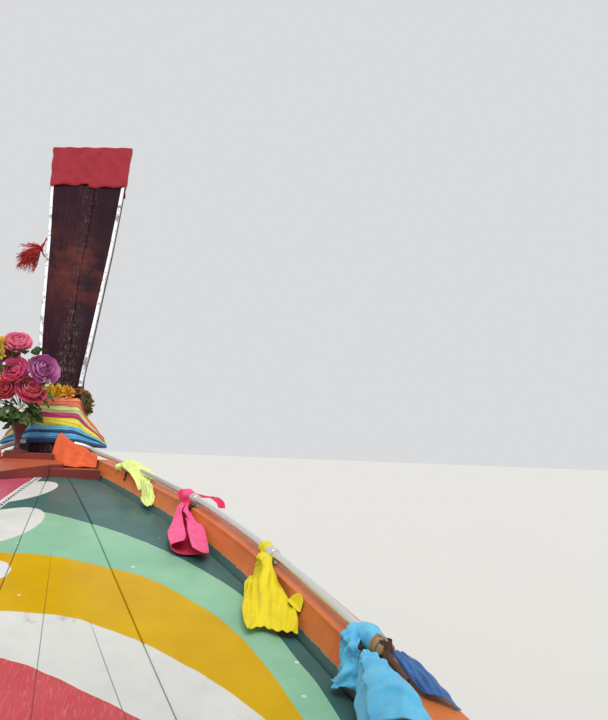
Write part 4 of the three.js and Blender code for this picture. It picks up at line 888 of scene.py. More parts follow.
def band_of(low, high, layer):
    """One wound cloth: level across the aft face, then down the sides into the low bundle, and round the
    stem. Its height falls straight with the way round from the aft corner to the bundle; it stands off the
    board by its layer, a flare that grows towards the bundle's foot, a round roll across it, and folds along
    its length."""
    count, rows = 240, 13
    q = np.linspace(0, 1, rows)[:, None]
    far = np.linspace(0, 1, count, endpoint=False)[None]
    ring = prow_ring(np.full(1, 1.16), 0.0, count)[0]
    round_it = np.linalg.norm(np.diff(ring, axis=0, append=ring[:1]), axis=1).sum()
    way = np.minimum(far, 1 - far) * round_it
    down = np.clip((way - 0.098 - 0.03 * (low - 1.16)) / 0.19, 0, 1)
    for _ in range(2):
        down = (np.roll(down, 1, 1) + 2 * down + np.roll(down, -1, 1)) / 4
    top_of = lambda z: 1.030 + 0.034 * (z - 1.041) / 0.244
    z = (low + (high - low) * q) * (1 - down) + top_of(low + (high - low) * q) * down
    sag = 0.0015 * np.sin(TAU * far * 5 + 2 * layer) * (1 - down)
    z = z + sag
    flare = np.interp(z, [1.03, 1.09, 1.145, 1.205, 1.3],
                      [0.066, 0.055, 0.041, 0.022, 0.009]) * np.minimum(1, 1.6 * down)
    fold = (0.0024 * np.sin(q * (9 + layer) + 3 * np.sin(TAU * far * 3 + layer))
            + 0.0012 * np.sin(TAU * far * 17 + layer))
    roll = 0.008 * np.sin(math.pi * q) ** 0.6 + 0.001 * q
    spread = 0.0045 + flare + fold + roll
    base = np.stack([np.interp(z, PROW[:, 0], PROW[:, k]) for k in range(1, 7)], -1)
    home = prow_at(1.16)
    share = np.interp(ring[:, 0], [home[0], home[2], home[4]], [0, 1, 2])
    x_now = np.where(share <= 1, base[..., 0] + (base[..., 2] - base[..., 0]) * share,
                     base[..., 2] + (base[..., 4] - base[..., 2]) * (share - 1))
    half_home = np.where(share <= 1, home[1] + (home[3] - home[1]) * share,
                         home[3] + (home[5] - home[3]) * (share - 1))
    half_now = np.where(share <= 1, base[..., 1] + (base[..., 3] - base[..., 1]) * share,
                        base[..., 3] + (base[..., 5] - base[..., 3]) * (share - 1))
    y_now = ring[:, 1] * half_now / half_home
    tangent = np.roll(ring, -1, 0) - np.roll(ring, 1, 0)
    normal = np.stack([-tangent[:, 1], tangent[:, 0]], -1)
    normal /= np.linalg.norm(normal, axis=-1, keepdims=True)
    normal *= np.sign((normal * (ring[:, :2] - PROW_FOOT)).sum(-1, keepdims=True))
    points = np.stack([x_now + spread * normal[:, 0], y_now + spread * normal[:, 1], z], -1)
    return shell(points, around=True), points


# Wound cloths, top to bottom: name, colour, colour in shade (painted into the creases as shade), low and high
# edge on the aft face
BANDS = [("salmon", "#ff9c74", "#f07a50", 1.258, 1.285), ("coral", "#f08c64", "#e0663f", 1.236, 1.261),
         ("green", "#e4f0a4", "#a8cc70", 1.203, 1.239),
         ("magenta", "#d43a80", "#a82462", 1.176, 1.206), ("yellow", "#fff04a", "#e6c82a", 1.136, 1.179),
         ("cyan", "#7ed2f4", "#3fa4d6", 1.112, 1.139),
         ("navy", "#24508c", "#152f5e", 1.100, 1.115), ("sky", "#6cc4ee", "#2f86c8", 1.072, 1.103),
         ("indigo", "#1f3f7a", "#152a55", 1.050, 1.075)]


def cap_cloth():
    """A felt bag over the board's head: rings from its hem up to the head's edge, then inward over its top.
    The hem waves on the aft face and drops 0.11 m on the starboard side, most at the aft corner; lumps come
    from summed sines."""
    count = 220
    top = prow_ring(np.array([2.936]), 0.006, count)[0]
    x, y = top[:, 0], top[:, 1]
    aft = np.exp(-np.clip(x - 5.206, 0, 1) / 0.012)
    along = np.arange(count) / count
    hem = 2.656 + 0.006 * np.sin(TAU * (y + 0.01) / 0.125) * aft
    side_drop = 0.11 * (1 - aft) * np.exp(-np.clip(x - 5.225, 0, 1) / 0.10) * np.where(y > 0, 0.2, 1.0)
    hem = hem - side_drop
    q = np.linspace(0, 1, 16)[:, None]
    z = hem[None] + (2.938 - hem[None]) * q
    here = prow_ring(np.linspace(2.50, 2.94, 23), 0.005, count)
    k = (z - 2.50) / 0.02
    i = np.clip(np.floor(k).astype(int), 0, 21)
    f = (k - i)[..., None]
    columns = np.arange(count)[None]
    wall = here[i, columns] * (1 - f) + here[i + 1, columns] * f
    lumps = (0.0022 * np.sin(38 * wall[..., 1] + 21 * wall[..., 2] + 3 * np.sin(17 * wall[..., 2]))
             + 0.0016 * np.sin(71 * wall[..., 1] - 55 * wall[..., 2] + 2)
             + 0.002 * np.sin(TAU * 9 * along)[None])
    push = wall[..., :2] - [5.29, 0]
    push /= np.linalg.norm(push, axis=-1, keepdims=True)
    bottom = 0.002 * (1 - q) ** 3
    wall[..., :2] += push * (lumps + bottom)[..., None]
    middle = np.array([5.30, 0.0, 2.944])
    shrink = np.array([0.985, 0.93, 0.8, 0.6, 0.35, 0.06])[:, None, None]
    lid = middle + (wall[-1] - middle) * shrink
    lid[..., 2] = (wall[-1][:, 2] + np.array([0.004, 0.007, 0.008, 0.008, 0.008, 0.008])[:, None]
                   + 0.0015 * np.sin(60 * lid[..., 1] + 30 * lid[..., 0]))
    whole = slanted(np.concatenate([wall, lid]))
    ring = np.linalg.norm(np.diff(whole[8], axis=0, append=whole[8][:1]), axis=1).sum()
    deep = np.linalg.norm(np.diff(whole, axis=0), axis=-1).sum(0).mean()
    return shell(whole, around=True), (round(float(ring), 3), round(float(deep), 3))


def blooms(spots, axes, size, whorls, cols=3, rows=4, seed=1):
    """Flower heads: whorls of petals round an axis. A petal's middle line is a quadratic curve from the
    centre through a bend to its tip, in the plane of the axis and its own direction; across, it is an arc
    that narrows to both ends."""
    pick = np.random.default_rng(seed)
    spots, axes = np.asarray(spots, float), np.asarray(axes, float)
    axes = axes / np.linalg.norm(axes, axis=1, keepdims=True)
    side = np.cross(axes, np.where(np.abs(axes[:, :1]) < 0.9, [1.0, 0, 0], [0, 1.0, 0]))
    side /= np.linalg.norm(side, axis=1, keepdims=True)
    over = np.cross(axes, side)
    size = np.broadcast_to(size, len(spots))
    v = np.linspace(0, 1, rows)[:, None]
    u = np.linspace(-1, 1, cols)[None]
    grids = []
    for count, reach, height, bend_r, bend_h, wide, cup, tip in whorls:
        phi = (TAU * (np.arange(count)[None] + pick.random((len(spots), 1))) / count
               + pick.normal(0, 0.26, (len(spots), count)))
        stretch = 1 + pick.normal(0, 0.13, (len(spots), count))
        r = 2 * v * (1 - v) * bend_r + v * v * reach
        h = 2 * v * (1 - v) * bend_h + v * v * height
        shape = np.clip(np.sin(math.pi * np.clip(v * (1 - tip) + 0.02, 0, 1)), 0, 1) ** 0.6
        arc = u * wide * shape
        r = r - cup * arc**2 * (0.3 + reach)
        h = h + cup * arc**2 * 0.6 + 0.05 * np.sin(6 * u + 9 * v) * v
        angle = phi[..., None, None] + arc
        size_now = (size[:, None] * stretch)[..., None, None]
        radial = (np.cos(angle)[..., None] * side[:, None, None, None]
                  + np.sin(angle)[..., None] * over[:, None, None, None])
        grid = (spots[:, None, None, None] + (size_now * r)[..., None] * radial
                + (size_now * h)[..., None] * axes[:, None, None, None])
        grids.append(grid.reshape(-1, rows, cols, 3))
    return shell(np.concatenate(grids))


# A whorl's columns: petals, reach, height, bend reach, bend height, half width in radians, cup, width left
# at the tip
ROSE = [
    (3, 0.10, 0.62, 0.22, 0.20, 1.15, 0.05, 0.35), (4, 0.24, 0.66, 0.34, 0.12, 0.95, 0.06, 0.35),
    (4, 0.40, 0.64, 0.50, 0.05, 0.90, 0.05, 0.35),
    (5, 0.58, 0.56, 0.66, -0.02, 0.78, 0.04, 0.35), (5, 0.78, 0.42, 0.80, -0.10, 0.74, 0.03, 0.36),
    (6, 1.0, 0.20, 0.90, -0.16, 0.64, 0.02, 0.38)]
MARIGOLD = [(5, 0.15, 1.0, 0.3, 0.5, 0.5, 0.0, 0.1), (9, 0.45, 0.92, 0.5, 0.3, 0.3, 0.0, 0.1),
            (12, 0.75, 0.72, 0.7, 0.2, 0.22, 0.0, 0.1),
            (14, 0.98, 0.40, 0.8, 0.0, 0.2, 0.0, 0.1), (14, 1.05, 0.02, 0.8, -0.1, 0.2, 0.0, 0.1),
            (10, 0.9, -0.3, 0.7, -0.2, 0.25, 0.0, 0.1)]
BLOSSOM = [(5, 1.0, 0.35, 0.6, 0.1, 0.55, 0.0, 0.2), (4, 0.3, 0.5, 0.2, 0.3, 0.5, 0.0, 0.2)]


def leaves(roots, tips, width, seed=3):
    """Leaf blades from root to tip: the width is a sine of the way along, the middle rib is lower than the
    halves beside it, and the blade droops as the square of the way along."""
    pick = np.random.default_rng(seed)
    roots, tips = np.asarray(roots, float)[:, None, None], np.asarray(tips, float)[:, None, None]
    v = np.linspace(0, 1, 11)[None, :, None, None]
    u = np.linspace(-1, 1, 7)[None, None, :, None]
    run = tips - roots
    side = np.cross(run, [0, 0, 1.0] + pick.normal(0, 0.5, run.shape))
    side /= np.linalg.norm(side, axis=-1, keepdims=True)
    up = np.cross(side, run)
    up /= np.linalg.norm(up, axis=-1, keepdims=True)
    length = np.linalg.norm(run, axis=-1, keepdims=True)
    half = width * np.sin(math.pi * np.clip(v * 0.96 + 0.02, 0, 1)) ** 0.8 * (1 + 0.06 * np.sin(40 * v))
    points = (roots + run * v + side * u * half
              + up * (np.abs(u) * half * 0.35 - 0.16 * length * v**2 + 0.004 * np.sin(18 * v + 3 * u)))
    return shell(points)


def petal_material():
    """Dyed polyester petals: matt, a little see-through, deep at the foot and pale at the turned edge, with
    fine ribs."""
    made, tree, shader = coat_of("petal_cloth", Roughness=0.75, Subsurface_Weight=0.12,
                                 Subsurface_Scale=0.004, Sheen_Weight=0.2)
    along = add(tree, "SeparateXYZ", add(tree, "TexCoord", out="UV"), out="Y")
    across = add(tree, "SeparateXYZ", add(tree, "TexCoord", out="UV"), out="X")
    tint = add(tree, "VertexColor", layer_name="tint")
    deep = add(tree, "HueSaturation", 0.49, 1.15, 0.5, 1.0, tint)
    pale = add(tree, "HueSaturation", 0.505, 0.72, 1.25, 1.0, tint)
    face = add(tree, "Mix", add(tree, "MapRange", along, 0.1, 0.75, 0.0, 1.0), deep, tint)
    face = add(tree, "Mix", add(tree, "MapRange", along, 0.86, 1.0, 0.0, 0.8), face, pale)
    put(tree, shader["Base Color"], face)
    ribs = add(tree, "SINE", add(tree, "MULTIPLY", across, 60.0))
    put(tree, shader["Normal"], add(tree, "Bump", 0.15, 0.0006, Height=ribs))
    return made


def leaf_material():
    """Printed cloth leaves: dark waxy green, paler ribs that branch from the middle, some yellowed."""
    made, tree, shader = coat_of("leaf_cloth", Roughness=0.5, Subsurface_Weight=0.06, Subsurface_Scale=0.003)
    u = add(tree, "SeparateXYZ", add(tree, "TexCoord", out="UV"), out="X")
    v = add(tree, "SeparateXYZ", add(tree, "TexCoord", out="UV"), out="Y")
    off = add(tree, "ABSOLUTE", add(tree, "SUBTRACT", u, 0.5))
    rib = add(tree, "MapRange", off, 0.01, 0.03, 1.0, 0.0)
    vein = add(tree, "MULTIPLY", add(tree, "SUBTRACT", v, off), 60.0)
    vein = add(tree, "MapRange", add(tree, "SINE", vein), 0.8, 1.0, 0.0, 0.6)
    lines = add(tree, "MAXIMUM", rib, vein)
    patch = add(tree, "TexNoise", add(tree, "TexCoord", out="Object"), Scale=1 / 0.05, Detail=3.0)
    face = add(tree, "Mix", add(tree, "MapRange", patch, 0.4, 0.7, 0.0, 1.0), "#2f4a22", "#566f2c")
    face = add(tree, "Mix", add(tree, "MULTIPLY", lines, 0.5), face, "#8fa45c")
    put(tree, shader["Base Color"], face)
    put(tree, shader["Normal"], add(tree, "Bump", 0.3, 0.0008, Height=lines))
    return made


def prow_wood():
    """Dark hardwood with worn red-brown varnish: long grain up the board, the starboard plank darker, dusty
    pale scratches near the seam low down, and worn lighter wood half way up."""
    made, tree, shader = coat_of("prow_hardwood", Roughness=0.5, IOR=1.5, Specular_IOR_Level=0.06)
    flat = add(tree, "TexCoord", out="UV")
    u, v = add(tree, "SeparateXYZ", flat, out="X"), add(tree, "SeparateXYZ", flat, out="Y")
    grain = add(tree, "TexNoise", add(tree, "Mapping", flat, Scale=(14, 0.7, 1)), Scale=8.0, Detail=9.0,
                Roughness=0.65, Distortion=0.5)
    fine = add(tree, "TexNoise", add(tree, "Mapping", flat, Scale=(60, 2, 1)), Scale=12.0, Detail=5.0,
               Roughness=0.6)
    patch = add(tree, "TexNoise", flat, Scale=1 / 0.2, Detail=5.0, Roughness=0.6)
    wood = add(tree, "ValToRGB", grain, stops=[(0.28, "#1c0a12"), (0.5, "#30141e"), (0.76, "#4a2430")])
    starboard = add(tree, "MapRange", u, -0.036, -0.030, 0.75, 0.0)
    port_edge = add(tree, "MapRange", u, 0.10, 0.18, 0.0, 0.4)
    wood = add(tree, "Mix", add(tree, "MAXIMUM", starboard, port_edge), wood, "#25101a")
    worn = add(tree, "MULTIPLY", add(tree, "MapRange", v, 1.75, 2.05, 0.0, 1.0),
               add(tree, "MapRange", v, 2.05, 2.4, 1.0, 0.0))
    worn = add(tree, "MULTIPLY", worn, add(tree, "MapRange", patch, 0.42, 0.62, 0.0, 0.8))
    wood = add(tree, "Mix", worn, wood, "#74392c")
    near = add(tree, "MapRange", add(tree, "ABSOLUTE", add(tree, "SUBTRACT", u, -0.02)), 0.02, 0.07, 1.0,
               0.0)
    low = add(tree, "MapRange", v, 1.45, 1.85, 1.0, 0.35)
    dust = add(tree, "MULTIPLY", add(tree, "MapRange", fine, 0.57, 0.64, 0.0, 1.0),
               add(tree, "MULTIPLY", near, low))
    wood = add(tree, "Mix", add(tree, "MULTIPLY", dust, 0.75), wood, "#b7aaa2")
    put(tree, shader["Base Color"], wood)
    put(tree, shader["Roughness"], add(tree, "MapRange", patch, 0.3, 0.7, 0.38, 0.62))
    put(tree, shader["Normal"], add(tree, "Bump", 0.4, 0.002, Height=add(tree, "ADD", grain, fine)))
    return made


felt = woven("red_felt", "#a62634", "#861c2a", thread=0.002, sheen=0.12, soft=0.01, rough=0.95)
petals, leaf = petal_material(), leaf_material()
dull_tin = metal("nailed_tin", "#c9cad0", rough=0.5, spots="#8a8079", shine=0.55)
nail_iron = metal("nail_iron", "#4a4542", rough=0.6, spots="#5d3a28")
piece("prow_planks", board(), prow_wood(), slot="prow_timber", replaces=["prow"], angle=30, bevel=0.003)
piece("prow_edge_strips", edge_strips(), dull_tin, slot="prow_timber")
piece("prow_strip_nails", strip_nails(), nail_iron, slot="prow_timber")
bag, bag_size = cap_cloth()
cap = thick(piece("cap_cloth", [bag], felt, slot="red_cloth", replaces=["prow_cap"], closed=False, angle=60),
            0.004)
for k, (name, face, deep, low, high) in enumerate(BANDS):
    shape, points = band_of(low, high, k)
    cloth = woven(f"{name}_satin", face, deep, thread=0.0011, sheen=0.3, soft=0.01, rough=0.6)
    wound = thick(piece(f"wrap_{name}", [shape], cloth, slot="band_cloth",
                        replaces=["prow_wrap"] if k == 0 else (), closed=False, angle=60), THIN_CLOTH)
    ring = np.linalg.norm(np.diff(points[4], axis=0, append=points[4][:1]), axis=1).sum()
    deep_now = np.linalg.norm(np.diff(points, axis=0), axis=-1).sum(0).mean()


# Flowers: a garland nailed round the prow, a tassel, and a bouquet in its stand
def heads(spots, axes, size, kind, hues, cols=3, rows=4, seed=1):
    """Flower heads of one kind and the tint of each of their petals' points."""
    shape = blooms(spots, axes, size, kind, cols, rows, seed)
    tints = [np.repeat(np.array([colour(hue)[:3] for hue in hues]), row[0] * rows * cols, 0) for row in kind]
    return shape, np.concatenate(tints)


def garland_heads():
    """27 marigold heads on a ring round the prow, evenly spaced along it, each a little off by chance."""
    ring = prow_ring(np.array([1.318]), 0.012, 400)[0]
    spots, axes, hues, sizes = [], [], [], []
    pick = np.random.default_rng(5)
    for far in np.linspace(0, 1, 27, endpoint=False):
        spot = ring[int(far * 400) % 400]
        away = spot[:2] - PROW_FOOT
        if spot[0] < 4.70:
            away = np.array([-1.0, 0.25 * np.sign(spot[1]) * (abs(spot[1]) > 0.08)])
        away = away / np.linalg.norm(away)
        aft = spot[0] < 4.70 and abs(spot[1]) < 0.09
        spots.append(spot + [0, 0, pick.normal(0, 0.005)])
        axes.append([away[0], away[1], 0.25 if aft else 0.1])
        hues.append(pick.choice(["#ffd000", "#ffbe00", "#ffe030"] if aft
                                else ["#c98a20", "#a8742a", "#8a6a2c", "#d8981e"]))
        sizes.append(0.034 if aft else 0.020)
    return heads(spots, axes, sizes, MARIGOLD, hues, seed=11)


def dried_heads():
    """Three withered heads that hang at the garland's starboard end."""
    spots = [(4.640, -0.142, 1.262), (4.655, -0.146, 1.226), (4.655, -0.136, 1.298)]
    return heads(spots, [(-0.5, -0.8, 0.2), (-0.4, -0.9, -0.4), (-0.3, -0.9, 0.6)], [0.040, 0.030, 0.026],
                 MARIGOLD, ["#7a6a24", "#6b4a1e", "#5c5a22"], seed=12)


ROSES = [  # place, facing, radius, colour
    ((4.430, 0.178, 1.520), (-0.75, -0.1, 0.6), 0.064, "#ff88b4"),
    ((4.405, 0.172, 1.388), (-0.9, 0.25, 0.3), 0.062, "#f2649c"),
    ((4.405, 0.058, 1.394), (-0.75, -0.6, 0.3), 0.076, "#cc68b0"),
    ((4.385, 0.202, 1.292), (-0.9, 0.2, 0.2), 0.060, "#e24468"),
    ((4.385, 0.099, 1.284), (-0.75, -0.3, 0.6), 0.074, "#dc4468"),
    ((4.470, 0.268, 1.375), (-0.1, 0.95, 0.3), 0.070, "#ee5a96"),
    ((4.525, 0.215, 1.470), (0.5, 0.6, 0.6), 0.066, "#d93468"),
    ((4.530, 0.170, 1.340), (0.95, 0.2, 0.1), 0.064, "#e0508c"),
    ((4.455, 0.245, 1.235), (-0.3, 0.9, 0.0), 0.055, "#c9305c")]


def bouquet():
    """Roses with leaves and small flowers between them, on wire stems that meet in the stand's neck."""
    places, facings, sizes, hues = zip(*ROSES)
    roses, tints = heads(places, facings, sizes, ROSE, hues, cols=7, rows=7, seed=21)
    piece("bouquet_roses", [roses], petals, slot="flowers", replaces=["bouquet"], closed=False, angle=80,
          tint=tints)
    yellow = [(4.395, 0.255, 1.455), (4.42, 0.245, 1.515), (4.41, 0.262, 1.345), (4.50, 0.262, 1.52),
              (4.535, 0.12, 1.43)]
    small = [(4.375, 0.122, 1.212), (4.385, 0.235, 1.225), (4.38, 0.176, 1.175), (4.40, 0.03, 1.34),
             (4.52, 0.20, 1.24)]
    mums, mum_tints = heads(yellow,
                            [(-0.8, 0.5, 0.4), (-0.6, 0.4, 0.8), (-0.8, 0.6, 0), (0.3, 0.6, 0.8),
                             (0.9, -0.2, 0.4)], 0.036, MARIGOLD,
                            ["#e8c81e", "#f0d42a", "#dcbc20", "#e8c81e", "#e0c42a"], seed=22)
    buds, bud_tints = heads(small, [(-0.9, -0.2, 0.3)] * 4 + [(0.9, 0.3, 0.2)], 0.021, BLOSSOM,
                            ["#f2f0e2"] * 5, seed=23)
    piece("bouquet_small_flowers", [mums, buds], petals, slot="flowers", closed=False, angle=80,
          tint=np.concatenate([mum_tints, bud_tints]))
    pick = np.random.default_rng(31)
    count = 34
    turn = np.linspace(0, TAU * 5, count) + pick.normal(0, 0.3, count)
    height = np.linspace(1.14, 1.52, count)
    middle = np.stack([np.full(count, 4.452), np.full(count, 0.152), height - 0.02], 1)
    reach = 0.115 * np.sin(math.pi * np.clip((height - 1.08) / 0.52, 0, 1)) ** 0.5
    way = np.stack([np.cos(turn), np.sin(turn) * 1.15, 0.15 + 0 * turn], 1)
    tips = middle + way * reach[:, None] + [0, 0, 0.01]
    tips[:, 0] = np.minimum(tips[:, 0], 4.575)
    roots = middle + way * 0.03
    named_roots = [(4.42, 0.06, 1.30), (4.40, 0.07, 1.27), (4.42, 0.12, 1.17), (4.42, 0.17, 1.16),
                   (4.42, 0.20, 1.20), (4.41, 0.10, 1.22)]
    named_tips = [(4.41, -0.012, 1.262), (4.38, 0.000, 1.228), (4.36, 0.060, 1.150), (4.37, 0.185, 1.105),
                  (4.37, 0.265, 1.155), (4.35, 0.045, 1.195)]
    around = np.linspace(0.25 * TAU, 0.72 * TAU, 11) + pick.normal(0, 0.12, 11)
    ring = np.stack([np.cos(around), np.sin(around), 0 * around], 1)
    skirt_roots = (np.array([4.45, 0.145, 1.185]) + 0.035 * ring
                   + [[0, 0, z] for z in pick.uniform(-0.02, 0.04, 11)])
    skirt_tips = (np.array([4.447, 0.148, 1.125]) + 0.118 * ring
                  + [[0, 0, z] for z in pick.uniform(-0.02, 0.05, 11)])
    front_roots = [(4.41, 0.11, 1.25), (4.41, 0.12, 1.24), (4.40, 0.14, 1.21), (4.40, 0.16, 1.21),
                   (4.40, 0.18, 1.22)]
    front_tips = [(4.385, 0.035, 1.215), (4.380, 0.055, 1.185), (4.368, 0.105, 1.150), (4.362, 0.150, 1.135),
                  (4.366, 0.205, 1.150)]
    blades = [leaves(np.concatenate([roots, named_roots]), np.concatenate([tips, named_tips]), 0.022),
              leaves(np.concatenate([skirt_roots, front_roots]), np.concatenate([skirt_tips, front_tips]),
                     0.030, seed=4)]
    piece("bouquet_leaves", blades, leaf, slot="flowers", closed=False, angle=80)
    neck = np.array([4.45, 0.14, 1.135])
    stems = [tube(curve([neck, neck + [0, 0, 0.05], (np.array(end) + neck) / 2 + [0, 0, 0.03],
                         np.array(end) - 0.02 * np.array(face)], 14), 0.0022, 6, (1, 0.2, 0))
             for end, face, _, _ in ROSES]
    stems += [tube(curve([neck, neck + [0, 0, 0.05], (np.array(end) + neck) / 2, end], 12), 0.0016, 6,
                   (1, 0.2, 0)) for end in yellow + small]
    piece("bouquet_stems", stems, leaf, slot="flowers")


def tassel_strands():
    """Frayed ribbon strands that hang from a knot on the prow's port side: each droops from the knot along
    its own way, with a small curl, and is as wide as a few threads."""
    pick = np.random.default_rng(41)
    count, rows = 330, 12
    knot = np.array([5.005, 0.212, 2.175])
    v = np.linspace(0, 1, rows)[None, :, None]
    way = np.stack([pick.normal(-0.012, 0.018, count), pick.uniform(0.02, 0.125, count),
                    pick.uniform(-0.13, -0.02, count)], 1)
    way[:26, 2] = pick.uniform(0.0, 0.055, 26)
    way = way[:, None]
    curl = np.stack([0.006 * np.sin(9 * v[..., 0] + pick.uniform(0, 6, (count, 1))),
                     0.007 * np.cos(8 * v[..., 0] + pick.uniform(0, 6, (count, 1))),
                     0.01 * np.sin(7 * v[..., 0] + pick.uniform(0, 6, (count, 1)))], -1) * v
    middle = knot + way * v + curl + np.array([0, 0, -0.03]) * v**2
    across = np.stack([pick.normal(0, 1, count), pick.normal(0, 0.5, count), pick.normal(0, 1, count)], 1)
    across = across / np.linalg.norm(across, axis=1,
                                     keepdims=True) * pick.uniform(0.0015, 0.0048, count)[:, None]
    grid = (middle[:, :, None]
            + across[:, None, None] * np.array([-1, 1])[None, None, :, None] * (1 - 0.6 * v[..., None] ** 3))
    tie = tube(curve([(4.985, 0.186, 2.235), (5.0, 0.20, 2.205), knot, (5.02, 0.205, 2.15),
                      (5.03, 0.19, 2.13)], 16), [0.004] * 5 + [0.008] * 6 + [0.004] * 5, 8, (1, 0, 0))
    return [shell(grid)], [tie]


marigolds, marigold_tints = garland_heads()
dried, dried_tints = dried_heads()
piece("garland_marigolds", [marigolds, dried], petals, slot="marigold", replaces=["garland"], closed=False,
      angle=80, tint=np.concatenate([marigold_tints, dried_tints]))
bouquet()
strands, tie = tassel_strands()
ribbon = woven("red_ribbon", "#d01e28", "#9c1018", thread=0.0008, sheen=0.35, rough=0.7)
piece("tassel_strands", strands, ribbon, slot="red_cloth", replaces=["tassel"], closed=False, angle=80)
piece("tassel_tie", tie, ribbon, slot="red_cloth")


# Flower stand, bow beam and platform
beam_enamel = enamel("beam_enamel", "#7e2a22", "#c8793f", wear=0.35, gloss=0.3)
top_enamel = enamel("beam_top_enamel", "#b4532f", "#5c1f18", wear=0.3, gloss=0.25)
plum_lacquer = enamel("plum_lacquer", "#6a2f34", "#a06a58", wear=0.3, gloss=0.3, brush=(20, 20, 20))


def painted_tops(obj, top, height):
    """Gives the faces that look up above a height a second material."""
    obj.data.materials.append(top)
    normals = np.zeros(len(obj.data.polygons) * 3)
    centres = np.zeros(len(obj.data.polygons) * 3)
    obj.data.polygons.foreach_get("normal", normals)
    obj.data.polygons.foreach_get("center", centres)
    up = (normals[2::3] > 0.7) & (centres[2::3] > height)
    obj.data.polygons.foreach_set("material_index", up.astype(int))


STEP_TOP = 1.0
painted_tops(finished("bow_beam", beam_enamel, bevel=0.003), top_enamel, 0.93)
painted_tops(finished("bow_platform", beam_enamel, bevel=0.003), top_enamel, 0.93)
foot = STEP_TOP + 0.0004
stand = [(0.0, 0.0), (0.051, 0.0), (0.053, 0.002), (0.053, 0.005), (0.047, 0.008), (0.030, 0.011),
         (0.017, 0.016), (0.0125, 0.024), (0.011, 0.045),
         (0.013, 0.066), (0.018, 0.074), (0.016, 0.079), (0.022, 0.095), (0.036, 0.120), (0.046, 0.143),
         (0.044, 0.1445), (0.034, 0.122), (0.020, 0.100), (0.0, 0.096)]
piece("flower_stand_turned", [turned(stand, (4.45, 0.14, foot), sides=40)], plum_lacquer,
      slot="red_brown_paint", replaces=["flower_stand"], bevel=0.002, angle=40)


# Bow rails: stainless tube on stanchions, with a collar at each joint and an iron foot on the gunwale
steel = metal("polished_stainless_tube", "#dededa", rough=0.25, grain=0.03, shine=0.6)
iron = metal("rusty_iron_strap", "#4b4744", rough=0.55, spots="#5e3522", shine=0.8)


RAIL_INSET = 0.034
RAIL_RISE = 0.045


def rail_point(x):
    """The port rail's middle line, inboard of the sheer and above it."""
    y, z = sheer(x)
    return np.stack([np.broadcast_to(x, y.shape), y - RAIL_INSET, z + RAIL_RISE], -1)


def bow_rail():
    """A bent tube along the gunwale, with a collar at each stanchion."""
    run = [rail_point(np.float64(x)) for x in (2.43, 2.7, 2.96, 3.24, 3.52, 3.83, 4.12, 4.38)]
    path = curve([*run, (4.462, 0.228, 1.012), (4.510, 0.160, 1.042), (4.516, 0.112, 1.052)], 110)
    shapes = [tube(path, 0.011, 20)]
    collar = [(0.0111, -0.017), (0.0152, -0.017), (0.0165, -0.0155), (0.0165, 0.0155), (0.0152, 0.017),
              (0.0111, 0.017)]
    for x in (2.46, 2.96, 3.52, 4.12):
        spot = rail_point(np.float64(x))
        along = rail_point(np.float64(x + 0.01)) - rail_point(np.float64(x - 0.01))
        shapes.append(turned(collar, spot, along, 24))
        floor = spot[2] - RAIL_RISE + CAP_RISE + 0.0006
        post = [(0.0, 0.0), (0.015, 0.0), (0.015, 0.003), (0.010, 0.006), (0.007, 0.009),
                (0.007, spot[2] - floor), (0.0, spot[2] - floor)]
        shapes.append(turned(post, (spot[0], spot[1], floor), sides=16))
    return shapes


def rail_straps():
    """A bent iron strap down the gunwale's inner face at each collar, with a round-headed bolt."""
    shapes = []
    for x in (2.96, 3.52, 4.12):
        spot = rail_point(np.float64(x - 0.02))
        inner_y, cap_z = cap_inner(x - 0.02)
        way = [(x - 0.02, spot[1] - 0.004, spot[2] - 0.020), (x - 0.024, inner_y + 0.002, cap_z + 0.0022),
               (x - 0.026, inner_y - 0.0022, cap_z - 0.006), (x - 0.03, inner_y - 0.0024, cap_z - 0.040)]
        path = curve(way, 14)
        side = np.array([0.012, 0, 0])
        lift = np.array([0, -0.0012, 0.001])
        shapes.append(shell(np.stack([path - side, path + side, path + side + lift, path - side + lift], 1),
                            around=True, ends=True))
        shapes.append(turned([(0.0, 0.0035), (0.003, 0.003), (0.005, 0.001), (0.005, -0.001)][::-1],
                             path[11] + lift, (0, -1, 0), 10))
    return shapes


def lashing():
    """Rope turned nine times round the rail's end and the peg: a helix whose pitch is the rope's width."""
    turns = 9
    a = np.linspace(0, TAU * turns, turns * 22)
    start, end = rail_point(np.float64(2.405)), rail_point(np.float64(2.452))
    axis = (end - start) / np.linalg.norm(end - start)
    side = np.cross(axis, [0, 0, 1])
    side /= np.linalg.norm(side)
    over = np.cross(side, axis)
    far = (a / a[-1])[:, None]
    radius = 0.0155 + 0.0018 * np.sin(a * 0.37)[:, None] + 0.0025 * np.sin(math.pi * far)
    path = start + (end - start) * far + radius * (np.cos(a)[:, None] * side + np.sin(a)[:, None] * over)
    cross = curve([path[0], start + over * 0.018, (start + end) / 2 + over * 0.0225,
                   end + over * 0.016 + side * 0.006], 20)
    return [tube(path, 0.0032, 7, tuple(axis)), tube(cross, 0.0028, 7, (0.1, 1, 0.2))]


def peg():
    """The upright stick under the rail's aft end and the one that leans on it, a turned and a tapered one."""
    low = rail_point(np.float64(2.408))
    base = low[2] - RAIL_RISE + CAP_RISE + 0.0008
    stick = [(0.0, 0), (0.0125, 0), (0.0135, 0.01), (0.012, 0.05), (0.010, low[2] + 0.010 - base),
             (0.004, low[2] + 0.014 - base), (0.0, low[2] + 0.014 - base)]
    lean = tube(curve([rail_point(np.float64(2.42)) + [0, 0.002, -0.004], (2.370, 0.878, 0.688),
                       (2.328, 0.892, 0.6665)], 18), np.linspace(0.0105, 0.0085, 18), 12)
    return [turned(stick, (low[0], low[1], base), sides=14), lean]


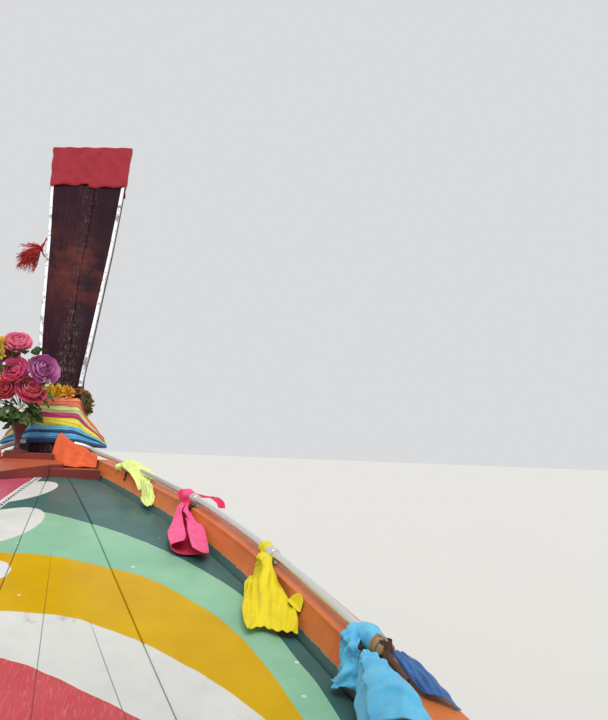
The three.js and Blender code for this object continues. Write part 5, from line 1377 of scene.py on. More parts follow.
rope = woven("hemp_rope", "#b59a78", "#7d654a", thread=0.0012, sheen=0.1, soft=0.004)
stick_wood = timber("peg_hardwood", "#3d2418", "#6d4530", gloss=0.6, along=(3, 12, 3))
for side, sign in SIDES.items():
    flip = mirrored if sign < 0 else (lambda shape: shape)
    piece(f"bow_rail_tube_{side}", [flip(s) for s in bow_rail()], steel, slot="rail_steel",
          replaces=[f"bow_rail_{side}"], angle=40)
    piece(f"bow_rail_straps_{side}", [flip(s) for s in rail_straps()], iron, slot="rail_steel")
    piece(f"rail_lashing_{side}", [flip(s) for s in lashing()], rope, slot="rail_steel", angle=60)
    piece(f"rail_peg_{side}", [flip(s) for s in peg()], stick_wood, slot="rail_steel")


# Cloths tied to the rails. Each is measured as rows of points from its inner edge to its outer edge, knot
# to hem.
def finer(rows, count):
    """Rows of points carried to a finer set along the first axis: a cubic between rows, with slopes from the
    neighbours."""
    rows = np.asarray(rows, float)
    s = np.linspace(0, len(rows) - 1, count)
    i = np.clip(s.astype(int), 0, len(rows) - 2)
    t = (s - i).reshape(-1, *[1] * (rows.ndim - 1))
    slope = np.gradient(rows, axis=0)
    return ((2 * t**3 - 3 * t**2 + 1) * rows[i] + (t**3 - 2 * t**2 + t) * slope[i]
            + (3 * t**2 - 2 * t**3) * rows[i + 1]
            + (t**3 - t**2) * slope[i + 1])


def draped(rows, pleats, depth, seed, steps=70, across=44, toward=(-0.3, 0.5, 0.8)):
    """A cloth carried through its rows. Pleats run down it: they lift it along its own normal by a sum of two
    sines across it that drift from knot to hem, and are nearly flat at the knot; a few random waves crumple
    it."""
    pick = np.random.default_rng(seed)
    grid = np.moveaxis(finer(np.moveaxis(finer(rows, steps), 1, 0), across), 0, 1)
    normal = np.cross(np.gradient(grid, axis=0), np.gradient(grid, axis=1))
    normal /= np.maximum(np.linalg.norm(normal, axis=-1, keepdims=True), 1e-9)
    normal *= np.where((normal * np.array(toward)).sum(-1, keepdims=True) < 0, -1, 1)
    v, u = np.linspace(0, 1, steps)[:, None], np.linspace(0, 1, across)[None]
    wave = (np.sin(TAU * (pleats * u + 0.35 * v) + pick.uniform(0, 6))
            + 0.45 * np.sin(TAU * (1.7 * pleats * u - 0.5 * v) + pick.uniform(0, 6)))
    lift = depth * (0.6 + 0.4 * wave) * (0.3 + 0.7 * np.sin(math.pi * np.clip(v * 0.8 + 0.15, 0, 1)))
    for _ in range(6):
        k = pick.uniform(1.5, 6, 2)
        lift = lift + 0.11 * depth * np.sin(TAU * (k[0] * u + k[1] * v) + pick.uniform(0, 6))
    return above_boat(grid + normal * np.maximum(lift, 0.0004)[..., None])


def above_boat(points, room=0.0022):
    """Lifts points that lie under the boat's surface: the cap's top outboard of its inner edge, else the
    deck, else the slope of the inner board between them."""
    x, y, z = np.moveaxis(np.asarray(points, float), -1, 0)
    flat = np.abs(y.ravel())
    edge_y, edge_z = cap_inner(x.ravel())
    foot_y = deck_half(x.ravel())
    floor = deck_z(x.ravel(), flat)
    share = np.clip((flat - foot_y) / np.maximum(edge_y - foot_y, 1e-4), 0, 1)
    top = np.where(x.ravel() > 4.31, BEAM_TOP, floor + (edge_z - floor) * share)
    return np.stack([x, y, np.maximum(z, (top + room).reshape(z.shape))], -1)


def knot(place, along, radius, length, seed, core=0.0112):
    """Cloth wrapped round the rail: a spindle about the rail, its radius a half sine along it, with twisted
    folds."""
    pick = np.random.default_rng(seed)
    along = np.asarray(along, float) / np.linalg.norm(along)
    side = np.cross(along, [0, 0, 1])
    side /= np.linalg.norm(side)
    over = np.cross(side, along)
    s, a = np.linspace(0, 1, 26)[:, None], np.linspace(0, TAU, 56, endpoint=False)[None]
    swell = np.sin(math.pi * s) ** 0.45
    folds = (0.5 * np.sin(3 * a + 8 * s + pick.uniform(0, 6))
             + 0.3 * np.sin(5 * a - 5 * s + pick.uniform(0, 6))
             + 0.4 * np.sin(17 * s + a + pick.uniform(0, 6)))
    r = core + (radius - core) * swell * (0.86 + 0.16 * folds)
    points = (np.asarray(place) + along * ((s - 0.5) * length)[..., None]
              + r[..., None] * (np.cos(a)[..., None] * side + np.sin(a)[..., None] * over))
    return shell(points, around=True, ends=True)


def loop_of(path, wide, depth, seed, toward=(0, 0, 1)):
    """A bow's loop or a short tail: a strip along a path, as wide as a half sine of its length allows, with
    two pleats."""
    path = curve(path, 40)
    side, _ = frames(path, toward)
    half = wide / 2 * (0.35 + 0.65 * np.sin(math.pi * np.linspace(0.06, 0.94, 40)) ** 0.6)[:, None]
    rows = np.stack([path - side * half, path - side * half * 0.4, path + side * half * 0.4,
                     path + side * half], 1)
    return draped(rows, 2.2, depth, seed, steps=40, across=20, toward=toward)


NEON = [
    [(4.192, 0.350, 0.966), (4.186, 0.366, 0.985), (4.166, 0.386, 0.980)],
    [(4.140, 0.350, 0.964), (4.135, 0.384, 0.990), (4.125, 0.408, 0.984)],
    [(4.100, 0.363, 0.954), (4.090, 0.395, 0.984), (4.080, 0.427, 0.976)],
    [(4.021, 0.386, 0.938), (4.020, 0.416, 0.960), (4.020, 0.447, 0.957)],
    [(3.951, 0.413, 0.904), (3.970, 0.437, 0.930), (3.985, 0.463, 0.934)],
    [(3.903, 0.432, 0.866), (3.880, 0.452, 0.888), (3.840, 0.476, 0.897)],
    [(3.860, 0.438, 0.845), (3.820, 0.460, 0.864), (3.775, 0.487, 0.870)],
    [(3.770, 0.448, 0.834), (3.768, 0.468, 0.846), (3.760, 0.485, 0.844)],
    [(3.718, 0.461, 0.830), (3.722, 0.468, 0.834), (3.737, 0.474, 0.831)]]
PINK = [  # each row goes round the cloth from its front slit: left, back, right and to the slit again
    [(3.575, 0.600, 0.872), (3.585, 0.588, 0.868), (3.590, 0.585, 0.880), (3.575, 0.598, 0.884),
     (3.556, 0.610, 0.882), (3.550, 0.612, 0.874), (3.560, 0.606, 0.870)],
    [(3.477, 0.572, 0.846), (3.530, 0.556, 0.846), (3.561, 0.566, 0.834), (3.524, 0.583, 0.838),
     (3.475, 0.590, 0.852), (3.461, 0.584, 0.846), (3.470, 0.576, 0.848)],
    [(3.410, 0.572, 0.812), (3.441, 0.538, 0.805), (3.499, 0.556, 0.796), (3.489, 0.595, 0.796),
     (3.416, 0.610, 0.818), (3.401, 0.599, 0.812), (3.427, 0.584, 0.813)],
    [(3.233, 0.566, 0.794), (3.312, 0.517, 0.788), (3.358, 0.535, 0.772), (3.366, 0.603, 0.772),
     (3.333, 0.635, 0.796), (3.283, 0.611, 0.790), (3.246, 0.573, 0.796)],
    [(3.188, 0.556, 0.785), (3.204, 0.520, 0.768), (3.199, 0.540, 0.746), (3.194, 0.584, 0.742),
     (3.181, 0.633, 0.748), (3.131, 0.606, 0.758), (3.130, 0.577, 0.775)]]
YELLOW = [
    [(3.000, 0.750, 0.778), (2.998, 0.762, 0.776), (2.992, 0.776, 0.776), (2.985, 0.790, 0.778)],
    [(2.985, 0.741, 0.758), (2.960, 0.750, 0.770), (2.930, 0.760, 0.772), (2.906, 0.768, 0.767)],
    [(2.994, 0.734, 0.728), (2.945, 0.742, 0.746), (2.890, 0.756, 0.755), (2.846, 0.771, 0.743)],
    [(2.947, 0.713, 0.702), (2.900, 0.728, 0.712), (2.845, 0.752, 0.728), (2.796, 0.782, 0.712)],
    [(2.835, 0.680, 0.682), (2.822, 0.712, 0.688), (2.795, 0.750, 0.704), (2.760, 0.786, 0.694)],
    [(2.742, 0.664, 0.668), (2.752, 0.706, 0.670), (2.738, 0.748, 0.682), (2.712, 0.790, 0.680)],
    [(2.690, 0.664, 0.660), (2.708, 0.708, 0.658), (2.680, 0.742, 0.658), (2.668, 0.780, 0.656)]]
BLUE = [
    [(2.412, 0.834, 0.690), (2.410, 0.838, 0.694), (2.400, 0.846, 0.698), (2.388, 0.852, 0.696)],
    [(2.409, 0.829, 0.680), (2.395, 0.838, 0.692), (2.378, 0.850, 0.697), (2.360, 0.860, 0.691)],
    [(2.408, 0.825, 0.660), (2.385, 0.832, 0.686), (2.352, 0.850, 0.696), (2.312, 0.862, 0.686)],
    [(2.394, 0.818, 0.640), (2.360, 0.824, 0.674), (2.315, 0.842, 0.692), (2.268, 0.866, 0.680)],
    [(2.370, 0.806, 0.624), (2.330, 0.812, 0.662), (2.280, 0.834, 0.684), (2.226, 0.868, 0.674)],
    [(2.340, 0.796, 0.614), (2.300, 0.804, 0.650), (2.252, 0.832, 0.672), (2.204, 0.866, 0.664)],
    [(2.292, 0.782, 0.604), (2.246, 0.796, 0.636), (2.196, 0.830, 0.662), (2.146, 0.868, 0.656)]]
BLUE_CRUMPLE = [
    [(2.506, 0.826, 0.692), (2.500, 0.838, 0.706), (2.486, 0.852, 0.706), (2.470, 0.856, 0.702)],
    [(2.508, 0.822, 0.668), (2.490, 0.826, 0.694), (2.462, 0.836, 0.702), (2.440, 0.842, 0.698)],
    [(2.500, 0.822, 0.646), (2.480, 0.820, 0.676), (2.448, 0.830, 0.692), (2.426, 0.840, 0.686)],
    [(2.490, 0.814, 0.630), (2.470, 0.812, 0.650), (2.440, 0.826, 0.672), (2.418, 0.838, 0.664)],
    [(2.470, 0.798, 0.622), (2.452, 0.800, 0.632), (2.430, 0.816, 0.648), (2.416, 0.836, 0.642)],
    [(2.452, 0.792, 0.616), (2.440, 0.796, 0.620), (2.426, 0.810, 0.628), (2.414, 0.832, 0.622)]]
BLUE_OUTBOARD = [
    [(2.410, 0.894, 0.690), (2.412, 0.910, 0.692), (2.405, 0.925, 0.686)],
    [(2.380, 0.898, 0.682), (2.372, 0.916, 0.686), (2.366, 0.938, 0.676)],
    [(2.350, 0.900, 0.672), (2.338, 0.922, 0.676), (2.325, 0.948, 0.664)],
    [(2.318, 0.904, 0.664), (2.300, 0.926, 0.668), (2.284, 0.954, 0.654)],
    [(2.292, 0.908, 0.658), (2.270, 0.930, 0.660), (2.252, 0.958, 0.640)]]


def tie_cloth(name, side, grids, knots, cloth, slot, others=(), inside=None):
    """Puts up one cloth on one side: its hanging parts, each a sheet of its own, and its knot on the rail."""
    flip = np.array([1, SIDES[side], 1])
    tied = piece(f"{name}_knot_{side}", [(points * flip, faces, uv) for points, faces, uv in knots], cloth,
                 slot=slot, replaces=[f"cloth_{name}_{side}"], angle=80)
    for part, grid in grids.items():
        obj = thick(piece(f"{name}_{part}_{side}", [shell(grid * flip)], dict(others).get(part, cloth),
                          slot=slot, closed=False, angle=80), THIN_CLOTH)
        # A cloth given an inside gets it on its sheet's inner shell: a darker copy of the cloth, painted
        # shade
        if inside is not None:
            obj.data.materials.append(inside)
            obj.modifiers["thickness"].material_offset = 1


neon = woven("neon_poplin", "#f6ffa8", "#d2e848", thread=0.0009, sheen=0.15, soft=0.006, rough=0.75)
pink = woven("pink_jersey", "#ff5c9a", "#e83a78", thread=0.0009, sheen=0.2, soft=0.006, rough=0.8)
# Painted shade: the pink cloth's inner shell in a darker, deeper pink than its outside
pink_inside_shade = woven("pink_jersey_inside_shade", "#ec2058", "#cc1848", thread=0.0009, sheen=0.1, soft=0.006,
                    rough=0.85)
yellow = woven("yellow_satin", "#f4e000", "#dcc400", thread=0.0008, sheen=0.08, soft=0.006, rough=0.55)
blue = woven("blue_satin", "#62ccf2", "#3da8e0", thread=0.0008, sheen=0.3, soft=0.006, rough=0.5)
# Painted shade: the part of the blue cloth that hangs outboard of the rail is a darker copy of its satin
blue_outboard_shade = woven("blue_satin_outboard_shade", "#1766ac", "#0f4a8c", thread=0.0008, sheen=0.3, soft=0.006, rough=0.5)
for side in SIDES:
    at = lambda x: rail_point(np.float64(x))
    way = lambda x: at(x + 0.01) - at(x - 0.01)
    hang = lambda x, y, z: at(x) + np.array([0, y, z])
    tie_cloth("neon", side,
              {"main": draped(NEON, 1.2, 0.006, 3),
               "tail": loop_of([hang(4.10, 0.014, 0.012), hang(4.05, 0.026, 0.004),
                                hang(3.99, 0.030, -0.006), hang(3.93, 0.030, -0.014)], 0.040, 0.004, 4)},
              [knot(at(4.155), way(4.155), 0.024, 0.075, 5),
               knot(hang(4.186, -0.024, -0.014), (0.2, 1, 0.3), 0.019, 0.036, 6, core=0.006)], neon,
               "neon_cloth")
    tie_cloth("pink", side,
              {"main": draped(PINK, 1.5, 0.003, 7, across=70),
               "strap": loop_of([hang(3.600, -0.010, 0.014), hang(3.590, -0.020, 0.002),
                                 hang(3.580, -0.020, -0.012), hang(3.566, -0.016, -0.022)], 0.030, 0.003, 9),
               "loop": loop_of([hang(3.575, 0.016, 0.004), hang(3.53, 0.042, 0.002),
                                hang(3.49, 0.052, 0.010), hang(3.45, 0.054, 0.008),
                                hang(3.41, 0.046, -0.004)], 0.036, 0.004, 8)},
              [knot(at(3.578), way(3.578), 0.023, 0.062, 10)], pink, "pink_cloth",
              inside=pink_inside_shade)
    tie_cloth("yellow", side,
              {"main": draped(YELLOW, 0.6, 0.015, 13),
               "tail": loop_of([(2.780, 0.784, 0.706), (2.758, 0.790, 0.700), (2.738, 0.796, 0.694),
                                (2.722, 0.800, 0.690)], 0.020, 0.003, 14)},
              [knot(at(2.998), way(2.998), 0.021, 0.048, 12)], yellow, "yellow_cloth")
    tie_cloth("blue", side,
              {"main": draped(BLUE, 1.2, 0.008, 15), "crumple": draped(BLUE_CRUMPLE, 2.4, 0.012, 16),
               "outboard": draped(BLUE_OUTBOARD, 1.6, 0.006, 17)},
              [knot(at(2.468), way(2.468), 0.027, 0.080, 18),
               knot(hang(2.500, -0.018, -0.002), (1, 0.6, 0.1), 0.019, 0.050, 19, core=0.006)], blue,
               "blue_cloth", others={"outboard": blue_outboard_shade})


# Orange cloths at the rails' fore ends, rows from port to starboard, foot to top
ORANGE_STARBOARD = [
    [(4.424, -0.020, 0.944), (4.434, -0.024, 1.002), (4.450, -0.032, 1.060), (4.480, -0.042, 1.098)],
    [(4.400, -0.050, 0.943), (4.424, -0.046, 1.006), (4.450, -0.048, 1.070), (4.484, -0.054, 1.096)],
    [(4.404, -0.078, 0.943), (4.436, -0.074, 0.990), (4.462, -0.076, 1.040), (4.484, -0.080, 1.072)],
    [(4.396, -0.120, 0.941), (4.434, -0.122, 0.966), (4.456, -0.126, 1.008), (4.480, -0.128, 1.042)],
    [(4.404, -0.175, 0.941), (4.424, -0.178, 0.964), (4.446, -0.180, 0.996), (4.470, -0.180, 1.018)],
    [(4.400, -0.230, 0.941), (4.416, -0.230, 0.958), (4.434, -0.230, 0.978), (4.452, -0.228, 0.992)]]
ORANGE_PORT = [
    [(4.410, 0.200, 0.941), (4.424, 0.202, 0.966), (4.438, 0.204, 0.992), (4.452, 0.206, 1.006)],
    [(4.404, 0.226, 0.941), (4.418, 0.228, 0.964), (4.434, 0.228, 0.990), (4.452, 0.226, 1.002)],
    [(4.400, 0.240, 0.941), (4.414, 0.240, 0.962), (4.432, 0.240, 0.984), (4.450, 0.236, 0.992)]]
orange = woven("orange_muslin", "#ee6a3a", "#c94a1e", thread=0.0012, sheen=0.15, soft=0.006, rough=0.8)
for side, rows, pleats in (("starboard", ORANGE_STARBOARD, 2.6), ("port", ORANGE_PORT, 1.2)):
    rows = np.array(rows)
    fore = rows[:, ::-1] + [0.022, 0, -0.004]
    fore[..., 2] = np.maximum(fore[..., 2], 0.942)
    grid = draped(np.concatenate([rows, fore[:, 1:]], 1), pleats, 0.007, 23, steps=70, across=60,
                  toward=(-0.8, 0, 0.5))
    obj = thick(piece(f"orange_muslin_{side}", [shell(grid)], orange, slot="orange_cloth",
                      replaces=[f"cloth_orange_{side}"], closed=False, angle=80), THIN_CLOTH)


# Inside the boat: frames, floorboards, benches, bulkheads and the stern deck
def floor_z(x):
    """The underside of the floorboards, a fixed rise above the planks' lower edge."""
    return keel_z(x) + 0.1504


def floor_boards(start, end):
    """Six boards side by side, each an eased section carried along the floor's curve."""
    x = np.linspace(start + 0.002, end - 0.003, 24)[:, None]
    shapes = []
    for k in range(6):
        low, high = -0.287 + k * 0.0967, -0.1964 + k * 0.0967
        y = np.array([low, low + 0.003, high - 0.003, high, high, low])
        z = floor_z(x) + np.array([0.0172, 0.02, 0.02, 0.0172, 0, 0]) + 0.0006 * math.sin(5 * k)
        shapes.append(shell(np.stack(np.broadcast_arrays(x, y, z), -1), around=True, ends=True))
    return shapes


def bench(low, high):
    """A seat of two boards on two board legs, with a stretcher between them."""
    middle, under = (low[0] + high[0]) / 2, high[2] - 0.030
    seat = [slab((low[0], low[1], under), (middle - 0.0015, high[1], high[2])),
            slab((middle + 0.0015, low[1], under), (high[0], high[1], high[2] - 0.0008))]
    legs = [slab((middle - 0.09, y - 0.02, low[2]), (middle + 0.09, y + 0.02, under + 0.001))
            for y in (-0.2, 0.2)]
    return (seat + legs
            + [slab((middle - 0.014, -0.19, low[2] + 0.13), (middle + 0.014, 0.19, low[2] + 0.19))])


def bolts(spots, axis, size=0.008):
    """Hexagonal heads on washers: two short turned profiles at each spot."""
    shapes = []
    for spot in np.reshape(np.asarray(spots, float), (-1, 3)):
        shapes.append(turned([(size * 1.5, -0.001), (size * 1.5, 0.0015), (0, 0.0015)], spot, axis, 12))
        shapes.append(turned([(size, 0), (size, size * 0.8), (size * 0.75, size), (0, size)], spot, axis, 6))
    return shapes


cockpit_enamel = enamel("cockpit_enamel", "#2f8f87", "#7d8f82", wear=0.5, gloss=0.34)
floor_enamel = enamel("floor_enamel", "#3b8580", "#7b6a58", wear=0.95, gloss=0.45)
boarded_enamel = enamel("boarded_enamel", "#2f8f87", "#7d8f82", wear=0.45, gloss=0.34, brush=(60, 60, 3),
                        boards=("Y", 0.112))
stern_enamel = enamel("stern_deck_enamel", "#3a948c", "#8a9a8e", wear=0.7, gloss=0.36, boards=("Y", 0.135))
rib_timber = timber("oiled_rib_timber", "#3a241b", "#7c5138", gloss=0.6, along=(8, 2, 8), grey=0.35)
finished("ribs_and_keelson", rib_timber, bevel=0.003, angle=30)
finished("foredeck_bulkhead", boarded_enamel)
finished("stern_bulkhead", boarded_enamel)
finished("stern_deck", stern_enamel, bevel=0.003)
finished("keel", hull_paint, bevel=0.004)
finished("stem", hull_paint, bevel=0.005)
finished("transom",
         enamel("transom_enamel", "#2c7f76", "#6b4a38", wear=0.6, gloss=0.4, brush=(60, 3, 60),
                boards=("Z", 0.17)), bevel=0.005)
for k, (start, end) in enumerate(zip((-3.95, -2.45, -1.35, 0.10), (-2.45, -1.35, 0.10, 1.80)), 1):
    piece(f"floor_boards_{k}", floor_boards(start, end), floor_enamel, slot="interior_paint",
          replaces=[f"floor_panel_{k}"], angle=25)
for k in range(1, 5):
    low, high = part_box(f"bench_{k}")
    piece(f"bench_boards_{k}", bench(low, high), cockpit_enamel, slot="interior_paint",
          replaces=[f"bench_{k}"], bevel=0.004)


# Canopy: squared posts and bent beams under a roof of painted boards
CANOPY_AFT, CANOPY_FORE, CANOPY_HALF = -3.49, 0.94, 1.01
POST_X = (-3.3, -1.95, -0.6, 0.75)


def over_roof(x, y, lift):
    """Points over the beams: a parabola across that rises 170 mm, at some height above the roof's
    underside."""
    return np.stack(np.broadcast_arrays(x, y, 1.9 + 0.17 * (1 - (y / CANOPY_HALF) ** 2) + lift), -1)


def bent(x0, x1, low, high, half=CANOPY_HALF, dip=0.0):
    """A strip bent over the canopy, as a ring of its under and upper face carried forward; it dips between
    beams."""
    x = np.linspace(x0, x1, 9)[:, None]
    y = np.linspace(-half, half, 57)
    sag = -dip * np.sin(math.pi * (x - x0) / (x1 - x0))
    return shell(np.concatenate([over_roof(x, y, low + sag), over_roof(x, y[::-1], high + sag)], 1),
                 around=True, ends=True)


roof_enamel = enamel("roof_enamel", "#7f9fb0", "#b9b7ab", wear=0.55, gloss=0.42, brush=(40, 3, 40))
trim_enamel = enamel("roof_trim_enamel", "#b9462c", "#d9c9b0", wear=0.4, gloss=0.35)
canopy_varnish = timber("canopy_varnish", "#43281d", "#8a5a3c", gloss=0.4, along=(9, 9, 0.8), grey=0.2)
beam_varnish = timber("canopy_beam_varnish", "#43281d", "#8a5a3c", gloss=0.42, along=(3, 0.8, 9), grey=0.2)
galvanised = metal("galvanised_fittings", "#9a9ea0", rough=0.5, spots="#7b5a40", shine=0.9)
joints = np.linspace(CANOPY_AFT, CANOPY_FORE, 5)
panels = [bent(a + 0.0015, b - 0.0015, 0.0, 0.013, dip=0.003) for a, b in zip(joints, joints[1:])]
piece("canopy_roof_boards", panels, roof_enamel, slot="roof_board", replaces=["canopy_roof"], angle=30)
strips = [bent(x - 0.022, x + 0.022, 0.0128, 0.018, CANOPY_HALF - 0.004) for x in joints[1:-1]]
ends = [bent(x - 0.009, x + 0.009, -0.026, 0.017) for x in joints[[0, -1]]]
eaves = [slab((CANOPY_AFT, side * 1.010 - 0.008, 1.874), (CANOPY_FORE, side * 1.010 + 0.008, 1.919))
         for side in (-1, 1)]
piece("canopy_roof_trim", strips + ends + eaves, trim_enamel, slot="roof_board", bevel=0.003)
finished("canopy_beams", beam_varnish, bevel=0.004)
sleeves, heads_of_bolts = [], []
for side, sign in SIDES.items():
    finished(f"canopy_side_{side}", canopy_varnish, bevel=0.006)
    for x in POST_X:
        y, z = sheer(x)
        spot = np.array([x, sign * (y - 0.032), z + 0.019])
        sleeves += [slab(spot - [0.05, 0.034, 0], spot + [0.05, 0.034, 0.004]),
                    slab(spot - [0.029, 0.024, 0], spot + [0.029, 0.024, 0.055])]
        heads_of_bolts += bolts([spot + [dx, dy, 0.004] for dx in (-0.04, 0.04) for dy in (-0.02, 0.02)],
                                (0, 0, 1), 0.005)
        heads_of_bolts += bolts([spot + [0, -sign * 0.024, 0.032]], (0, -sign, 0), 0.006)
        heads_of_bolts += bolts([(x, sign * 0.915, 1.875)], (0, -sign, 0), 0.006)
piece("canopy_post_sleeves", sleeves, galvanised, slot="canopy_timber", bevel=0.0015)
piece("canopy_bolts", heads_of_bolts, galvanised, slot="canopy_timber")


# Stern gear. What tilts is built along the shaft (local X runs up the shaft to the engine, from the pivot)
PIVOT = np.array([-5.6, 0.0, 1.15])
LEAN = math.radians(19.5)
UP_SHAFT = np.array([[math.cos(LEAN), 0, -math.sin(LEAN)], [0, 1, 0], [math.sin(LEAN), 0, math.cos(LEAN)]])


def on_shaft(name, shapes, material, body="engine", **words):
    """A piece drawn along the shaft's own axis, turned up to it and carried to the tilt pivot."""
    return piece(name, [moved(shape, PIVOT, UP_SHAFT) for shape in shapes], material, body, **words)


def rod(start, end, radius, far=None, sides=24):
    """A round bar between two points, tapering to the radius far where given, its ends eased."""
    run = np.subtract(end, start)
    length = np.linalg.norm(run)
    far = radius if far is None else far
    ease = min(0.003, 0.25 * min(radius, far), 0.3 * length)
    profile = [(0, 0), (radius - ease, 0), (radius, ease), (far, length - ease), (far - ease, length),
               (0, length)]
    return turned(profile, start, run, sides)


def block(x0, x1, y0, y1, z0, z1):
    """A box between two values on each axis."""
    return slab((x0, y0, z0), (x1, y1, z1))


def crowned(x0, x1, half, low, high, power=4.0):
    """A cover: a superellipse's upper half, |y/half|^p + |z/height|^p = 1, carried along x and drawn in at
    its ends."""
    a = np.linspace(0, math.pi, 25)
    y = half * np.sign(np.cos(a)) * np.abs(np.cos(a)) ** (2 / power)
    z = (high - low) * np.abs(np.sin(a)) ** (2 / power)
    far = np.linspace(-1, 1, 17)[:, None]
    draw = np.clip(1 - np.abs(far) ** 16, 0.02, 1) ** 0.25
    return shell(np.stack(np.broadcast_arrays((x0 + x1) / 2 + far * (x1 - x0) / 2, y * (0.85 + 0.15 * draw),
                                              low + z * draw), -1),
                 around=True, ends=True)


def belt(x, wheels, wide=0.012, deep=0.006):
    """A belt round (y, z, radius) wheels: at each direction it lies on the wheel that reaches furthest that
    way."""
    a = np.linspace(0, TAU, 181)
    way = np.stack([np.cos(a), np.sin(a)], 1)
    wheels = np.asarray(wheels, float)
    which = np.argmax(way @ wheels[:, :2].T + wheels[:, 2], axis=1)
    rows = [(wheels[which, :2] + (wheels[which, 2:] + lift) * way, dx) for dx, lift in
            ((-wide / 2, 0), (-wide / 2, deep), (wide / 2, deep), (wide / 2, 0))]
    return shell(np.stack([np.column_stack([np.full(len(a), x + dx), yz]) for yz, dx in rows], 1),
                 around=True)


def pulley(x, y, z, radius, wide=0.02):
    """A grooved wheel turned about the shaft's direction."""
    r = np.array([0, 0.35, 0.38, 0.8, 1.06, 1.06, 0.95, 0.95, 1.06, 1.06, 0.8, 0.4, 0.36, 0]) * radius
    h = np.array([-1.6, -1.6, -0.6, -0.7, -1, -0.8, -0.5, 0.5, 0.8, 1, 0.7, 0.6, 1.5, 1.5]) * wide / 2
    return turned(np.stack([r, h], 1), (x, y, z), (1, 0, 0), 36)


def fan(x, y, z, reach, count=6):
    """Twisted blades: each a thin four-point section carried outward, turned less towards its tip."""
    r = np.linspace(0.02, reach, 7)[:, None]
    turn = np.radians(np.linspace(48, 26, 7))[:, None]
    chord = np.interp(r, [0.02, 0.06, reach], [0.014, 0.026, 0.020])
    c, t = np.array([-1, 0, 1, 0]), np.array([0, -0.0012, 0, 0.0012])
    blade = np.stack([c * chord * np.sin(turn) + t, c * chord * np.cos(turn), np.broadcast_to(r, (7, 4))],
                     -1)
    shapes = []
    for a in np.arange(count) * TAU / count:
        spin = np.array([[1, 0, 0], [0, math.cos(a), -math.sin(a)], [0, math.sin(a), math.cos(a)]])
        shapes.append(moved(shell(blade, around=True, ends=True), (x, y, z), spin))
    return shapes + [rod((x - 0.014, y, z), (x + 0.014, y, z), 0.026)]


engine_enamel = enamel("engine_enamel", "#235a80", "#5e5348", wear=0.75, gloss=0.4, brush=(2, 2, 2))
cast_aluminium = metal("cast_aluminium", "#9fa2a3", rough=0.5, spots="#6d6860", grain=0.0025)
bright_steel = metal("worn_steel", "#b4b6b8", rough=0.34, spots="#6e4a34", grain=0.003)
scale_iron = metal("exhaust_iron", "#54443c", rough=0.75, spots="#7d4526", grain=0.003, shine=0.6)
painted_iron = metal("painted_iron", "#39464d", rough=0.48, spots="#6b3d26", grain=0.004, shine=0.25)
black_rubber = moulded("black_rubber", "#1d1d1e", rough=0.7)
filter_paint = moulded("filter_steel_paint", "#20262a", rough=0.35)
red_plastic = moulded("red_polyethylene", "#b02a1f", rough=0.42, grain=0.002, soft=0.15)
brown_grip = moulded("grip_rubber", "#2b2420", rough=0.85)

castings = [block(0.06, 0.44, -0.100, 0.100, -0.046, 0.045), block(0.05, 0.45, -0.112, 0.112, 0.030, 0.050),
            block(0.02, 0.49, -0.122, 0.122, 0.045, 0.268), block(0.035, 0.475, -0.112, 0.112, 0.263, 0.278),
            block(0.04, 0.47, -0.105, 0.105, 0.276, 0.343)]
castings += [block(x - 0.006, x + 0.006, y * 0.118, y * 0.130, 0.055, 0.258)
             for x in np.linspace(0.06, 0.45, 7) for y in (-1, 1)]
castings += [block(0.03, 0.48, y * 0.118, y * 0.129, z - 0.006, z + 0.006) for z in (0.10, 0.22)
             for y in (-1, 1)]
castings += [block(x - 0.004, x + 0.004, -0.095, 0.095, -0.050, 0.045) for x in np.linspace(0.09, 0.41, 9)]
castings += [rod((x, 0, 0.343), (x, 0, 0.352), 0.021) for x in (0.11, 0.21, 0.31, 0.41)]
on_shaft("engine_castings", castings, engine_enamel, slot="engine_metal", replaces=["engine"], bevel=0.004)

bell = [(0.0, 0), (0.134, 0), (0.136, 0.012), (0.128, 0.016), (0.122, 0.05), (0.104, 0.11), (0.088, 0.155),
        (0.092, 0.160), (0.092, 0.170), (0.0, 0.170)]
neck = [(0.0, 0), (0.080, 0), (0.078, 0.02), (0.062, 0.08), (0.050, 0.125), (0.054, 0.128), (0.054, 0.142),
        (0.0, 0.142)]
light = [turned(bell, (0.030, 0, 0.090), (-0.17, 0, -0.030), 48),
         turned(neck, (-0.130, 0, 0.060), (-0.138, 0, -0.054), 40),
         rod((-0.240, 0, 0), (-0.300, 0, 0), 0.046, sides=36), crowned(0.062, 0.448, 0.062, 0.342, 0.386),
         rod((0.330, 0.175, 0.200), (0.478, 0.175, 0.200), 0.053, sides=36),
         rod((0.395, 0.150, 0.16), (0.43, 0.118, 0.10), 0.016),
         block(0.195, 0.245, 0.095, 0.150, 0.294, 0.335), block(0.10, 0.42, 0.100, 0.122, 0.288, 0.330)]
for a in np.arange(10) * TAU / 10:
    reach = np.array([0, math.cos(a), math.sin(a)])
    light.append(rod(np.array([0.012, 0, 0.086]) + 0.118 * reach,
                     np.array([-0.132, 0, 0.061]) + 0.082 * reach, 0.006, 0.004, 8))
light += [turned([(0.0535, 0), (0.0565, 0.001), (0.0565, 0.004), (0.0535, 0.005)], (x, 0.175, 0.2),
                 (1, 0, 0), 36) for x in np.linspace(0.345, 0.455, 9)]
on_shaft("engine_light_castings", light, cast_aluminium, slot="engine_metal", bevel=0.002)

